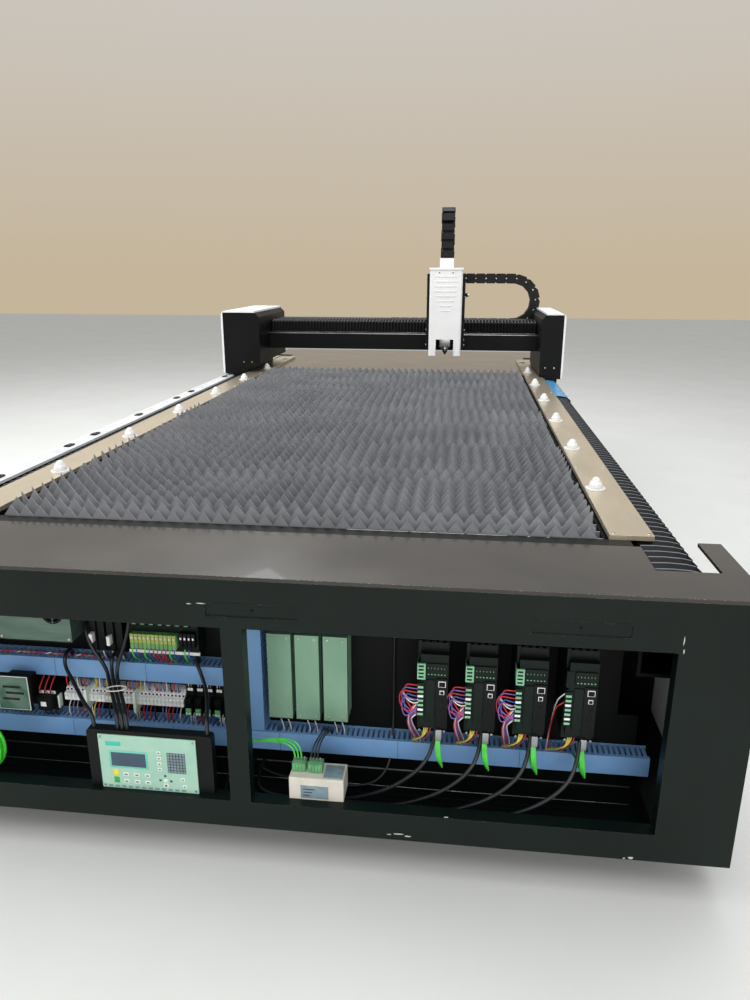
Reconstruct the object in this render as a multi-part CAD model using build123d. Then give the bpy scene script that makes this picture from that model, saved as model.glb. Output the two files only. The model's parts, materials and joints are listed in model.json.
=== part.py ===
from build123d import *
import math
import os

# A flat-bed sheet-metal laser cutting machine with an open electrical cabinet at its front end.
# Frame: millimetres, +X to the right, +Y from the cabinet to the rear, +Z up.
# The origin is on the floor, under the middle of the machine.

os.makedirs("parts", exist_ok=True)

# Overall sizes
cabinet_overhang = 55.0
deck_height = 700.0
ground_gap = 95.0
clearance = 0.3

# Slat bed: a 3 m x 1.5 m cutting area
bed_width = 1500.0
bed_length = 2800.0
slat_height = 95.0
slat_rise = 40.0
slat_thickness = 3.0
slat_end_gap = 10.0
tab_length = 14.0
tab_drop = 12.0
slat_margin = 40.0
tooth_height = 27.0
teeth_per_slat = 20
slat_count = 36
comb_height = 120.0
comb_thickness = 12.0
comb_drop = 10.0
mid_support_thickness = 6.0

# Front deck and cabinet
front_deck_depth = 315.0
rear_deck_length = 1305.0
deck_thickness = 8.0
front_bar_depth = 40.0
front_bar_height = 60.0
cabinet_depth = 275.0
sheet = 5.0
return_depth = 34.0
return_thickness = 3.0
face_top_band = 115.0
face_bottom_band = 67.0
bay_side = 159.0
post_right = -27.0
post_left = -73.0
slot_width = 192.0
slot_height = 28.0
slot_drop = 61.0
slot_depth = 3.0
slot_places = (-653.0, -6.0, 650.0)
panel_setback = 230.0
panel_side_gap = 7.0
panel_wing = 48.0
wing_drop = 400.0
panel_thickness = 3.0
panel_top_drop = 104.0
cabinet_floor_rise = 8.0

# Side members
ledge_width = 40.0
beam_width = 143.0
beam_drop = 95.0
beam_height = 150.0
beam_wall = 8.0
ledge_wall = 4.0
lower_rail_width = 100.0
lower_rail_height = 60.0
tube_wall = 5.0
post_depth = 100.0
post_first = 180.0
post_last = 120.0
post_rear_gap = 245.0
posts_along_bed = 4
cross_size = 80.0
cross_first = 60.0
cross_count = 5
rear_cross_gap = 345.0
side_cover_lap = 9.0
foot_first = -150.0
foot_last = -180.0
foot_rear_gap = 265.0
feet_along_bed = 4
foot_pad_radius = 40.0
foot_pad_height = 14.0
foot_stud_radius = 12.0
foot_nut_radius = 20.0
foot_nut_height = 18.0

# Side plates with their ball transfer units
plate_width = 100.0
ledge_gap = 7.0
plate_thickness = 12.0
plate_reach = 700.0
ball_first = 384.0
ball_share = 0.175
ball_count = 6
ball_inset = 29.0
ball_flange_radius = 27.0
ball_flange_height = 4.0
ball_cup_radius = 19.0
ball_cup_height = 18.0
ball_radius = 12.0
ball_stand_out = 11.0
spare_hole_radius = 15.0

# Long guideways under the bellows
rail_width = 20.0
rail_height = 28.0
rail_offset = 41.0
rack_width = 14.0
rack_height = 25.0
rack_gap = 14.0
pinion_radius = 20.0
pinion_height = 22.0
pinion_teeth = 20
guideway_rear_gap = 445.0

# Bellows covers
bellows_inset = 14.0
bellows_gap = 2.0
bellows_pleat = 40.0
bellows_depth = 22.0
bellows_front = -178.0
bellows_rear_gap = 385.0
notch_start = 15.0
notch_overhang = 5.0

# Gantry, at its rest place along the bed
gantry_setback = 150.0
leg_depth = 640.0
leg_wall = 8.0
leg_height = 350.0
leg_bottom = 2.0
left_leg_reach = 17.0
left_leg_overhang = 39.0
right_leg_reach = 24.0
right_leg_overhang = 5.0
leg_step_gap = 4.0
ball_pass_height = 64.0
plate_pass_height = 20.0
leg_chamfer = 24.0
shell_thickness = 10.0
shell_radius = 26.0
shell_overlap = 5.0
foot_base_gap = 4.0
foot_drop = 41.0
block_width = 44.0
block_height = 36.0
block_length = 80.0
motor_size = 66.0
motor_height = 150.0
shaft_radius = 8.0
motor_bore = 60.0
running_gap = 0.05
beam_setback = 230.0
beam_depth = 300.0
beam_bottom = 131.0
beam_shelf = 223.0
beam_top = 297.0
beam_recess = 130.0
gantry_wall = 10.0
x_rail_size = 14.0
x_rail_low = 240.0
x_rail_high = 276.0
x_bellows_front = 58.0
x_bellows_pleat = 30.0
x_bellows_depth = 8.0
x_bellows_wall = 5.0

# Cutting head, at its rest place along the gantry
head_x = 295.0
cover_width = 180.0
cover_depth = 200.0
cover_bottom = 122.0
cover_top = 596.0
cover_wall = 4.0
cover_radius = 10.0
window_width = 98.0
window_height = 90.0
cap_width = 78.0
cap_depth = 70.0
cap_height = 52.0
side_plate_thickness = 16.0
side_plate_bottom = 150.0
side_plate_top = 565.0
side_plate_setback = 40.0
head_plate_thickness = 16.0
nozzle_tip = 118.0
nozzle_height = 32.0
nozzle_radius = 15.0
head_body_width = 62.0
head_body_height = 230.0
z_screw_radius = 8.0
z_screw_length = 250.0
z_slide_width = 120.0
z_slide_height = 220.0
z_slide_thickness = 14.0
x_pinion_radius = 16.0
x_pinion_teeth = 16
x_pinion_height = 12.0
x_rack_height = 14.0
head_arm_height = 100.0

# Drag chains: link height, half width and bend radius of each
x_chain_height = 62.0
x_chain_width = 70.0
x_chain_radius = 138.0
x_chain_top = 534.0
x_chain_bend = 701.0
x_chain_anchor = -80.0
x_chain_pitch = 62.0
y_chain_height = 35.0
y_chain_radius = 65.0
y_chain_share = 0.65
y_chain_reach = 570.0
y_chain_pitch = 50.0
head_chain_height = 32.0
head_chain_width = 73.0
head_chain_radius = 70.0
head_chain_top = 920.0
head_chain_pitch = 46.0
head_chain_end = 448.0

# Places that follow from the sizes above
machine_length = front_deck_depth + bed_length + rear_deck_length
frame_length = bed_length + rear_deck_length
y_front = -machine_length / 2
y_rear = machine_length / 2
y_bed = y_front + front_deck_depth
y_bed_end = y_bed + bed_length
half_bed = bed_width / 2
plate_inner = half_bed
plate_outer = plate_inner + plate_width
plate_length = bed_length + plate_reach
ledge_inner = half_bed + ledge_gap
beam_inner = ledge_inner + ledge_width
beam_outer = beam_inner + beam_width
half_cabinet = beam_outer + cabinet_overhang
bay_outer_edge = half_cabinet - bay_side
panel_half = beam_inner - panel_side_gap
wing_edge = panel_half + panel_wing
rail_inset = beam_inner + rail_offset
guideway_end = frame_length - guideway_rear_gap
notch_inner = beam_inner + notch_start
notch_outer = beam_outer + notch_overhang
bellows_outer = beam_outer - bellows_inset
bellows_rear_end = frame_length - bellows_rear_gap
rear_cross_place = frame_length - rear_cross_gap
cross_pitch = (bed_length - cross_first - cross_size) / (cross_count - 1)
post_pitch = (bed_length + post_last - post_first) / (posts_along_bed - 1)
post_places = [post_first + index * post_pitch for index in range(posts_along_bed)]
post_places.append(frame_length - post_rear_gap)
foot_pitch = (bed_length + foot_last - foot_first) / (feet_along_bed - 1)
foot_places = [foot_first + index * foot_pitch for index in range(feet_along_bed)]
foot_places.append(frame_length - foot_rear_gap)
ball_pitch = ball_share * bed_length
gantry_front = bed_length - gantry_setback
beam_front = gantry_front + beam_setback
left_leg_inner = plate_inner + left_leg_reach
left_leg_outer = beam_outer + left_leg_overhang
right_leg_inner = plate_outer - right_leg_reach
right_leg_outer = beam_outer + right_leg_overhang
leg_step_inner = plate_outer + leg_step_gap
foot_base_inner = rail_inset - block_width / 2 - foot_base_gap
y_chain_anchor = y_chain_share * bed_length
y_chain_bend = gantry_front + y_chain_reach
cabinet_bottom = ground_gap
under_deck = deck_height - deck_thickness


def block(x, y, z):
    """A box from its two corners, each given as a pair of places."""
    size = Box(x[1] - x[0], y[1] - y[0], z[1] - z[0])
    return Pos((x[0] + x[1]) / 2, (y[0] + y[1]) / 2, (z[0] + z[1]) / 2) * size


def rod(x, y, z, radius):
    """An upright round bar between two heights."""
    return Pos(x, y, (z[0] + z[1]) / 2) * Cylinder(radius, z[1] - z[0])


def along_y(outline, y):
    """A closed outline of (x, z) points, drawn out between two places along Y."""
    face = Plane.XZ * make_face(Polyline(*outline, close=True))
    return Pos(0, y[1], 0) * extrude(face, y[1] - y[0])


def along_x(outline, x):
    """A closed outline of (y, z) points, drawn out between two places along X."""
    face = Plane.YZ * make_face(Polyline(*outline, close=True))
    return Pos(x[0], 0, 0) * extrude(face, x[1] - x[0])


def turned(shape):
    """The same shape on the left side of the machine."""
    return mirror(shape, Plane.YZ)


def both(shape):
    return [shape, turned(shape)]


def save(name, solids):
    """Write one named piece, or one group of like pieces, to its own file."""
    group = solids if isinstance(solids, list) else [solids]
    flat = [solid for shape in group for solid in shape.solids()]
    part = flat[0] if len(flat) == 1 else Compound(children=flat)
    part.label = name
    export_step(part, f"parts/{name}.step")


def bed(y):
    """A place along the bed, measured from the slat bed's near end."""
    return y_bed + y


def up(z):
    """A height measured from the top of the deck."""
    return deck_height + z


def tube(x, y, z, wall, axis):
    """A rectangular tube with open ends."""
    inner = [[x[0] + wall, x[1] - wall], [y[0] + wall, y[1] - wall], [z[0] + wall, z[1] - wall]]
    inner["xyz".index(axis)] = [(x, y, z)["xyz".index(axis)][0], (x, y, z)["xyz".index(axis)][1]]
    return block(x, y, z) - block(*inner)


# Cabinet face: one folded sheet with two bays, their returns and three shallow grip recesses
bays = {
    "right": (post_right, bay_outer_edge),
    "left": (-bay_outer_edge, post_left),
}
bay_low = cabinet_bottom + face_bottom_band
bay_high = deck_height - face_top_band


def cabinet_face():
    face = block((-half_cabinet, half_cabinet), (y_front, y_front + sheet), (cabinet_bottom, under_deck))
    for x0, x1 in bays.values():
        face += block(
            (x0 - return_thickness, x1 + return_thickness),
            (y_front, y_front + return_depth),
            (bay_low - return_thickness, bay_high + return_thickness),
        )
    for x0, x1 in bays.values():
        face -= block((x0, x1), (y_front - sheet, y_front + 2 * return_depth), (bay_low, bay_high))
    z = deck_height - slot_drop
    for x in slot_places:
        half = slot_width / 2
        face -= block((x - half, x + half), (y_front - 1, y_front + slot_depth), (z - slot_height, z))
    return face


def cabinet_shell():
    depth = (y_front + sheet, y_front + cabinet_depth)
    side = block((half_cabinet - sheet, half_cabinet), depth, (cabinet_bottom, under_deck))
    floor = block(
        (-half_cabinet + sheet, half_cabinet - sheet),
        (y_front + sheet, y_front + cabinet_depth),
        (cabinet_bottom, cabinet_bottom + cabinet_floor_rise),
    )
    return both(side), floor


save("cabinet_face", cabinet_face())
cabinet_sides, cabinet_base = cabinet_shell()
save("cabinet_shell", cabinet_sides + [cabinet_base])

y_panel = y_front + panel_setback
panel_high = deck_height - panel_top_drop
panel = block(
    (-panel_half, panel_half),
    (y_panel, y_panel + panel_thickness),
    (cabinet_bottom + cabinet_floor_rise, panel_high),
)
panel += block(
    (0, wing_edge),
    (y_panel, y_panel + panel_thickness),
    (cabinet_bottom + cabinet_floor_rise, deck_height - wing_drop),
)
panel += block(
    (-panel_half, panel_half),
    (y_panel, y_panel + cabinet_depth - panel_setback),
    (panel_high - panel_thickness, panel_high),
)
save("mounting_panel", panel)


# Deck plates: each has a notch on both sides for the bellows covers
def deck_front():
    plate = block((-half_cabinet, half_cabinet), (y_front, bed(-front_bar_depth)), (under_deck, deck_height))
    for side in both(block((notch_inner, notch_outer), (bed(bellows_front), bed(0)), (up(-50), up(50)))):
        plate -= side
    rear_strip = block(
        (notch_outer, half_cabinet),
        (bed(-front_bar_depth), bed(0)),
        (under_deck, deck_height),
    )
    for side in both(rear_strip):
        plate += side
    return plate


def deck_rear():
    plate = block((-beam_outer, beam_outer), (y_bed_end + 10, y_rear - sheet), (under_deck, deck_height))
    for side in both(block((notch_inner, notch_outer), (bed(0), bed(bellows_rear_end)), (up(-50), up(50)))):
        plate -= side
    return plate


save("deck_plate_front", deck_front())
save("deck_plate_rear", deck_rear())

# Long side members: a ledge tube under each side plate, and a beam that carries the guideway
long_start = bed(bellows_front - 2)
ledge = tube(
    (ledge_inner, beam_inner),
    (bed(-front_bar_depth), y_rear - sheet),
    (up(-beam_drop - beam_height), under_deck),
    ledge_wall,
    "y",
)
plate_seat = block((ledge_inner, beam_inner), (bed(0), y_bed_end + 10), (under_deck, deck_height))
beam = tube(
    (beam_inner, beam_outer),
    (long_start, y_rear - sheet),
    (up(-beam_drop - beam_height), up(-beam_drop)),
    beam_wall,
    "y",
)
save("side_beams", both(ledge) + both(plate_seat) + both(beam))


def base_frame():
    rail_outer = beam_outer
    rail_inner = rail_outer - lower_rail_width
    floor_top = cabinet_bottom + cabinet_floor_rise
    rail_y = (y_front + cabinet_depth, y_rear - sheet)
    rail_z = (cabinet_bottom, cabinet_bottom + lower_rail_height)
    pieces = both(tube((rail_inner, rail_outer), rail_y, rail_z, tube_wall, "y"))
    front_foot = block(
        (rail_inner, rail_outer),
        (y_front + sheet, y_front + cabinet_depth),
        (floor_top, cabinet_bottom + lower_rail_height),
    )
    pieces += both(front_foot)
    beam_bottom_z = up(-beam_drop - beam_height)
    for y in post_places:
        post = tube(
            (rail_inner, rail_outer),
            (bed(y), bed(y) + post_depth),
            (cabinet_bottom + lower_rail_height, beam_bottom_z),
            tube_wall,
            "z",
        )
        pieces += both(post)
    for y in (post_places[0], post_places[2], post_places[4]):
        pieces.append(
            tube((-rail_inner, rail_inner), (bed(y), bed(y) + cross_size), rail_z, tube_wall, "x")
        )
    return pieces


save("base_frame", base_frame())

cross_low = up(-beam_drop - beam_height)
cross_tubes = [
    tube(
        (-ledge_inner, ledge_inner),
        (bed(y), bed(y) + cross_size),
        (cross_low, cross_low + cross_size),
        tube_wall,
        "x",
    )
    for y in [cross_first + index * cross_pitch for index in range(cross_count)] + [rear_cross_place]
]
mid_support = block(
    (-mid_support_thickness / 2, mid_support_thickness / 2),
    (bed(20), y_bed_end),
    (cross_low + cross_size, up(slat_rise - slat_height)),
)
front_bar = block(
    (-beam_inner, beam_inner),
    (bed(-front_bar_depth), bed(0)),
    (up(-front_bar_height), up(0)),
)
for ledge_space in both(block((ledge_inner, beam_inner), (bed(-60), bed(60)), (up(-200), under_deck))):
    front_bar -= ledge_space
save("cross_members", cross_tubes + [mid_support, front_bar])

rear_panel = block((-beam_outer, beam_outer), (y_rear - sheet, y_rear), (cabinet_bottom, deck_height))
save("rear_end_panel", rear_panel)


# Light side covers hang below the beams, outside the posts
def side_cover():
    return block(
        (beam_outer, beam_outer + sheet),
        (y_front + cabinet_depth, y_rear),
        (cabinet_bottom + lower_rail_height / 2, up(-beam_drop - beam_height) + side_cover_lap),
    )


save("side_covers", both(side_cover()))


def levelling_foot(y):
    x = beam_outer - lower_rail_width / 2
    pad = rod(x, y, (0, foot_pad_height), foot_pad_radius)
    stud = rod(x, y, (foot_pad_height, ground_gap), foot_stud_radius)
    nut_low = ground_gap - foot_nut_height
    hexagon = extrude(RegularPolygon(foot_nut_radius, 6), foot_nut_height)
    return pad + stud + Pos(x, y, nut_low) * hexagon


feet = []
for y in foot_places:
    feet += both(levelling_foot(bed(y)))
save("levelling_feet", feet)

# Guideways on the beams
y_rail = block(
    (rail_inset - rail_width / 2, rail_inset + rail_width / 2),
    (bed(-20), bed(guideway_end)),
    (up(-beam_drop), up(-beam_drop + rail_height)),
)
rack_inner = rail_inset + rail_width / 2 + rack_gap
rack_outer = rack_inner + rack_width
y_rack = block(
    (rack_inner, rack_outer),
    (bed(-20), bed(guideway_end)),
    (up(-beam_drop), up(-beam_drop + rack_height)),
)
save("y_guideways", both(y_rail) + both(y_rack))

# Side plates with a spare hole, and the ball transfer units on them
ball_x = plate_inner + ball_inset
side_plate = block(
    (plate_inner, plate_outer),
    (bed(0), bed(plate_length)),
    (deck_height, up(plate_thickness)),
)
spare_y = bed(ball_first + ball_count * ball_pitch)
side_plate -= rod(ball_x, spare_y, (up(-1), up(plate_thickness + 1)), spare_hole_radius)
save("side_plates", both(side_plate))


def ball_place(index):
    return bed(ball_first + index * ball_pitch)


def ball_housing(index):
    low = up(plate_thickness)
    mid = low + ball_flange_height
    high = mid + ball_cup_height
    outline = Polyline(
        (0, low),
        (ball_flange_radius, low),
        (ball_flange_radius, mid - 1),
        (ball_flange_radius - 1, mid),
        (ball_cup_radius, mid),
        (ball_cup_radius - 1, mid + 10),
        (ball_cup_radius - 5, high),
        (0, high),
        close=True,
    )
    turned_part = revolve(Plane.XZ * make_face(outline), Axis.Z)
    centre = high + ball_stand_out - ball_radius
    socket = Pos(0, 0, centre) * Sphere(ball_radius + clearance)
    return Pos(ball_x, ball_place(index), 0) * (turned_part - socket)


def transfer_ball(index):
    high = up(plate_thickness) + ball_flange_height + ball_cup_height
    return Pos(ball_x, ball_place(index), high + ball_stand_out - ball_radius) * Sphere(ball_radius)


housings, balls = [], []
for index in range(ball_count):
    housings += both(ball_housing(index))
    balls += both(transfer_ball(index))
save("ball_housings", housings)
save("transfer_balls", balls)

# Slat bed: toothed slats that stand in combs
slat_length = bed_width - 2 * slat_end_gap
slat_pitch = (bed_length - 2 * slat_margin) / (slat_count - 1)
slat_foot = slat_rise - slat_height
tooth_pitch = slat_length / teeth_per_slat


def slat_place(index):
    return bed(slat_margin + index * slat_pitch)


def slat():
    half = slat_length / 2
    tab = half + tab_length
    points = [(-half, up(-tab_drop)), (-tab, up(-tab_drop)), (-tab, up(slat_foot))]
    points += [(tab, up(slat_foot)), (tab, up(-tab_drop)), (half, up(-tab_drop))]
    for tooth in range(teeth_per_slat):
        right = half - tooth * tooth_pitch
        points.append((right, up(slat_rise - tooth_height)))
        points.append((right - tooth_pitch / 2, up(slat_rise)))
    points.append((-half, up(slat_rise - tooth_height)))
    return along_y(points, (-slat_thickness / 2, slat_thickness / 2))


one_slat = slat()
save("support_slats", [Pos(0, slat_place(i), 0) * one_slat for i in range(slat_count)])


def comb():
    """A slotted bar: its outline in (y, z) drawn out across the thickness."""
    low, high = up(-comb_drop - comb_height), up(-comb_drop)
    half_slot = slat_thickness / 2 + clearance
    points = [(bed(0), high), (bed(0), low), (y_bed_end, low), (y_bed_end, high)]
    for index in reversed(range(slat_count)):
        y = slat_place(index)
        points += [
            (y + half_slot, high),
            (y + half_slot, up(slat_foot)),
            (y - half_slot, up(slat_foot)),
            (y - half_slot, high),
        ]
    return along_x(points, (ledge_inner - comb_thickness, ledge_inner))


save("slat_combs", both(comb()))


# Collecting pans below the slats
pan_gap = 5.0
pan_length = cross_pitch - cross_size - 2 * pan_gap
pan_places = [cross_first + cross_size + pan_gap + index * cross_pitch for index in range(cross_count - 1)]
pan_top_half = 720.0
pan_floor_half = 560.0
pan_depth = 150.0
pan_wall = 3.0
pan_top = cross_low + cross_size - 2


def scrap_pan(y):
    outer = along_y(
        [
            (-pan_top_half, pan_top),
            (-pan_floor_half, pan_top - pan_depth),
            (pan_floor_half, pan_top - pan_depth),
            (pan_top_half, pan_top),
        ],
        (bed(y), bed(y) + pan_length),
    )
    inner = along_y(
        [
            (-pan_top_half + pan_wall, pan_top + 1),
            (-pan_floor_half + pan_wall, pan_top - pan_depth + pan_wall),
            (pan_floor_half - pan_wall, pan_top - pan_depth + pan_wall),
            (pan_top_half - pan_wall, pan_top + 1),
        ],
        (bed(y) + pan_wall, bed(y) + pan_length - pan_wall),
    )
    lip = block(
        (-ledge_inner, ledge_inner),
        (bed(y), bed(y) + pan_length),
        (pan_top - pan_wall, pan_top),
    )
    hollow = block(
        (-pan_top_half + pan_wall, pan_top_half - pan_wall),
        (bed(y) + pan_wall, bed(y) + pan_length - pan_wall),
        (pan_top - 2 * pan_wall, pan_top + 1),
    )
    return outer + (lip - hollow) - inner


save("scrap_pans", [scrap_pan(y) for y in pan_places])

# Left side: chain tray on the beam, and the guard rail on its outer wall
tray_wall = 3.0
tray_rear_gap = 305.0
guard_width = 53.0
guard_drop = 6.0
guard_height = 9.0
guard_inset = 12.0
guard_start = 5.0
guard_reach = 250.0
clip_places = (354.0, 778.0, 974.0, 1370.0, 1812.0, 2013.0, 2574.0)
clip_length = 46.0
clip_height = 12.0
y_chain_low = up(-beam_drop) - 2 * y_chain_radius + y_chain_height / 2
tray_floor = y_chain_low - y_chain_height / 2 - tray_wall
tray_outer = half_cabinet - 4.0
guard_outer = half_cabinet - guard_inset
guard_low = up(-guard_drop - guard_height)
tray_outline = [
    (-beam_outer, tray_floor),
    (-tray_outer, tray_floor),
    (-tray_outer, guard_low - clip_height),
    (-tray_outer + tray_wall, guard_low - clip_height),
    (-tray_outer + tray_wall, tray_floor + tray_wall),
    (-beam_outer, tray_floor + tray_wall),
]
save("y_chain_tray", along_y(tray_outline, (bed(0), bed(frame_length - tray_rear_gap))))
guard_rail = block(
    (-guard_outer, -guard_outer + guard_width),
    (bed(guard_start), bed(bed_length + guard_reach)),
    (guard_low, up(-guard_drop)),
)
clips = [
    block(
        (-tray_outer, -tray_outer + 22),
        (bed(y) - clip_length / 2, bed(y) + clip_length / 2),
        (guard_low - clip_height, guard_low),
    )
    for y in clip_places
]
save("guard_rail", [guard_rail] + clips)


# Bellows covers, pleated along the way they travel
def pleats(start, end, pitch, low, depth):
    """The zigzag top of a bellows, as (place, height) points from start to end."""
    count = max(2, round((end - start) / pitch))
    step = (end - start) / count
    points = [(start, low)]
    for index in range(count):
        points.append((start + (index + 0.5) * step, low + depth))
        points.append((start + (index + 1) * step, low))
    return points


def y_bellows(start, end):
    """Pleated skin over one side's guideway, open below, sloping down to its outer edge."""
    low = -bellows_depth - 3
    roof = pleats(bed(start), bed(end), bellows_pleat, up(low), bellows_depth)
    under = up(low - 6)
    outline = [(bed(end), under), (bed(start), under)] + roof
    x_in = notch_inner + bellows_gap
    skin = along_x(outline, (x_in, bellows_outer))
    skirt_in = block((x_in, x_in + 3), (bed(start), bed(end)), (up(-60), under))
    skirt_out = block((bellows_outer - 3, bellows_outer), (bed(start), bed(end)), (up(-60), under))
    return skin + skirt_in + skirt_out


gantry_rear = gantry_front + leg_depth
save("bellows_front", both(y_bellows(bellows_front, gantry_front)))
save("bellows_rear", both(y_bellows(gantry_rear, bellows_rear_end)))

# Cabinet gear, on the mounting panel unless said otherwise
gear_back = y_panel
duct_depth = 50.0
duct_height = 48.0
duct_wall = 2.0
finger_pitch = 40.0
finger_slot = 12.0
wire_radius = 4.5
pendant_front = 15.0
level_duct_places = (-361.0, -527.0)
upright_duct_x = (-86.0, -40.0)
upright_duct_z = (-477.0, -108.0)
duct_split = -4.0


def on_panel(x, z, depth):
    """A box on the mounting panel, its heights measured from the top of the deck."""
    return block(x, (gear_back - depth, gear_back), (up(z[0]), up(z[1])))


def level_duct(x, z):
    """Slotted trunking with its fingers upwards and a plain cover in front."""
    body = on_panel(x, (z, z + duct_height), duct_depth)
    body -= on_panel(x, (z + duct_wall, z + duct_height - duct_wall), duct_depth - duct_wall)
    body += on_panel(x, (z, z + duct_height), duct_wall)
    count = int((x[1] - x[0]) / finger_pitch)
    for index in range(count):
        slot_x = x[0] + (index + 0.5) * finger_pitch
        body -= block(
            (slot_x, slot_x + finger_slot),
            (gear_back - duct_depth + 4 * duct_wall, gear_back - 2 * duct_wall),
            (up(z + duct_height - 2 * duct_wall), up(z + duct_height + 1)),
        )
    return body


def upright_duct(x, z):
    body = on_panel(x, z, duct_depth)
    inner = (x[0] + duct_wall, x[1] - duct_wall)
    return body - on_panel(inner, (z[0] - 1, z[1] + 1), duct_depth - duct_wall) + on_panel(x, z, duct_wall)


duct_edge = panel_half - 4
duct_end = wing_edge + 23
duct_high, duct_low = level_duct_places
save(
    "cable_ducts",
    [
        level_duct((-duct_edge, upright_duct_x[0] - 4), duct_high),
        level_duct((-duct_edge, duct_split), duct_low),
        level_duct((duct_split + 1, duct_end), duct_low),
        upright_duct(upright_duct_x, upright_duct_z),
    ],
)

# Servo drives: a finned body with a raised front and its plug blocks
drive_places = (331.0, 434.0, 540.0, 644.0)
drive_width = 66.0
drive_low, drive_high = -385.0, -170.0
drive_depth = 145.0


def servo_drive(x):
    body = on_panel((x, x + drive_width), (drive_low, drive_high), drive_depth - 16)
    body += on_panel((x + 6, x + drive_width), (drive_low + 18, drive_high - 24), drive_depth)
    body += on_panel((x, x + 16), (drive_high - 82, drive_high - 44), drive_depth + 2)
    body += on_panel((x, x + 14), (drive_low + 40, drive_high - 90), drive_depth - 2)
    for level in range(3):
        z = drive_high - 92 - 38 * level
        body += on_panel((x + 38, x + 58), (z - 18, z), drive_depth + 3)
    for fin in range(4):
        x_fin = x + 8 + 15 * fin
        body -= on_panel((x_fin, x_fin + 6), (drive_high - 10, drive_high + 1), drive_depth)
    return body


save("servo_drives", [servo_drive(x) for x in drive_places])

resistor_places = (-22.0, 43.0, 109.0)
resistor_width = 56.0
resistor_z = (-427.0, -208.0)
resistor_depth = 65.0
resistor_groove = 4.0
groove_depths = (14.0, 34.0)
groove_height = 8.0


def braking_resistor(x):
    body = on_panel((x, x + resistor_width), resistor_z, resistor_depth)
    for side in (x, x + resistor_width):
        for depth in groove_depths:
            body -= block(
                (side - resistor_groove, side + resistor_groove),
                (gear_back - depth - groove_height, gear_back - depth),
                (up(resistor_z[0] - 1), up(resistor_z[1] + 1)),
            )
    return body


save("braking_resistors", [braking_resistor(x) for x in resistor_places])

# Power supply with its fan
supply_x = (-666.0, -484.0)
supply_z = (-249.0, -122.0)
supply_depth = 85.0
supply_wall = 2.0
fan_x, fan_z = -527.0, -177.0
fan_radius = 27.0
fan_hub_radius = 12.0
fan_blades = 7
fan_depth = 12.0
spindle_radius = 3.0


def power_supply():
    body = on_panel(supply_x, supply_z, supply_depth)
    body -= block(
        (supply_x[0] + supply_wall, supply_x[1] - supply_wall),
        (gear_back - supply_depth + supply_wall, gear_back - supply_wall),
        (up(supply_z[0] + supply_wall), up(supply_z[1] - supply_wall)),
    )
    front = gear_back - supply_depth
    mouth = Pos(fan_x, front, up(fan_z)) * Rot(90, 0, 0) * Cylinder(fan_radius, 4 * supply_wall)
    body -= mouth
    for radius in (fan_radius - 3, fan_radius - 12):
        ring = Cylinder(radius, supply_wall) - Cylinder(radius - 2, supply_wall)
        body += Pos(fan_x, front + supply_wall / 2, up(fan_z)) * Rot(90, 0, 0) * ring
    y_bars = (front, front + supply_wall)
    body += block((fan_x - fan_radius - 1, fan_x + fan_radius + 1), y_bars, (up(fan_z) - 1, up(fan_z) + 1))
    body += block((fan_x - 1, fan_x + 1), y_bars, (up(fan_z) - fan_radius - 1, up(fan_z) + fan_radius + 1))
    spindle_y = (front + supply_wall, gear_back - supply_wall)
    spindle = Cylinder(spindle_radius, spindle_y[1] - spindle_y[0])
    body += Pos(fan_x, sum(spindle_y) / 2, up(fan_z)) * Rot(90, 0, 0) * spindle
    return body


def supply_fan():
    rotor = Cylinder(fan_hub_radius, fan_depth)
    blade_length = fan_radius - 2 - fan_hub_radius + 3
    for index in range(fan_blades):
        blade = Pos(fan_hub_radius - 3 + blade_length / 2, 0, 0) * Rot(35, 0, 0) * Box(blade_length, 12, 1.2)
        rotor += Rot(0, 0, index * 360 / fan_blades) * blade
    rotor -= Cylinder(spindle_radius + 0.05, 2 * fan_depth)
    y = gear_back - supply_depth + supply_wall + 1 + fan_depth / 2
    return Pos(fan_x, y, up(fan_z)) * Rot(90, 0, 0) * rotor


save("power_supply", power_supply())
save("supply_fan", supply_fan())


def terminal_row(x, z, depth, pitch):
    """A row of clamp terminals: one bar with a notch between each two."""
    count = round((x[1] - x[0]) / pitch)
    front, notch = gear_back - depth, gear_back - depth + 8
    points = [(x[0], gear_back), (x[0], front)]
    for index in range(1, count):
        edge = x[0] + index * pitch
        points += [(edge - 2, front), (edge - 2, notch), (edge, notch), (edge, front)]
    points += [(x[1], front), (x[1], gear_back)]
    face = make_face(Polyline(*points, close=True))
    return Pos(0, 0, up(z[0])) * extrude(face, z[1] - z[0])


terminal_x, terminal_z = (-543.0, -237.0), (-440.0, -396.0)
save("terminal_blocks", terminal_row(terminal_x, terminal_z, 50, 18))
unit_x, unit_z = (-360.0, -190.0), (-285.0, -150.0)
unit_depth = 50.0
save("signal_unit", on_panel(unit_x, unit_z, unit_depth))
unit_plug_x, unit_plug_z = (-350.0, -238.0), (-262.0, -228.0)
signal_plugs = Pos(0, -unit_depth, 0) * terminal_row(unit_plug_x, unit_plug_z, 14, 14)


relay_first, relay_pitch, relay_width, relay_count = -233.0, 24.0, 21.0, 4
relay_z = (-452.0, -376.0)
contactor_x, contactor_z = (-604.0, -556.0), (-452.0, -398.0)


def relay(x):
    body = on_panel((x, x + relay_width), relay_z, 42)
    body += on_panel((x + 2, x + relay_width - 2), (relay_z[0] + 12, relay_z[1] - 20), 62)
    return body


relays = [relay(relay_first + relay_pitch * index) for index in range(relay_count)]


def contactor():
    body = on_panel(contactor_x, contactor_z, 60)
    front = (contactor_x[0] + 7, contactor_x[1] - 7)
    body += on_panel(front, (contactor_z[0] + 9, contactor_z[1] - 9), 78)
    return body


save("relays_and_contactor", relays + [contactor()])


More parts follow.
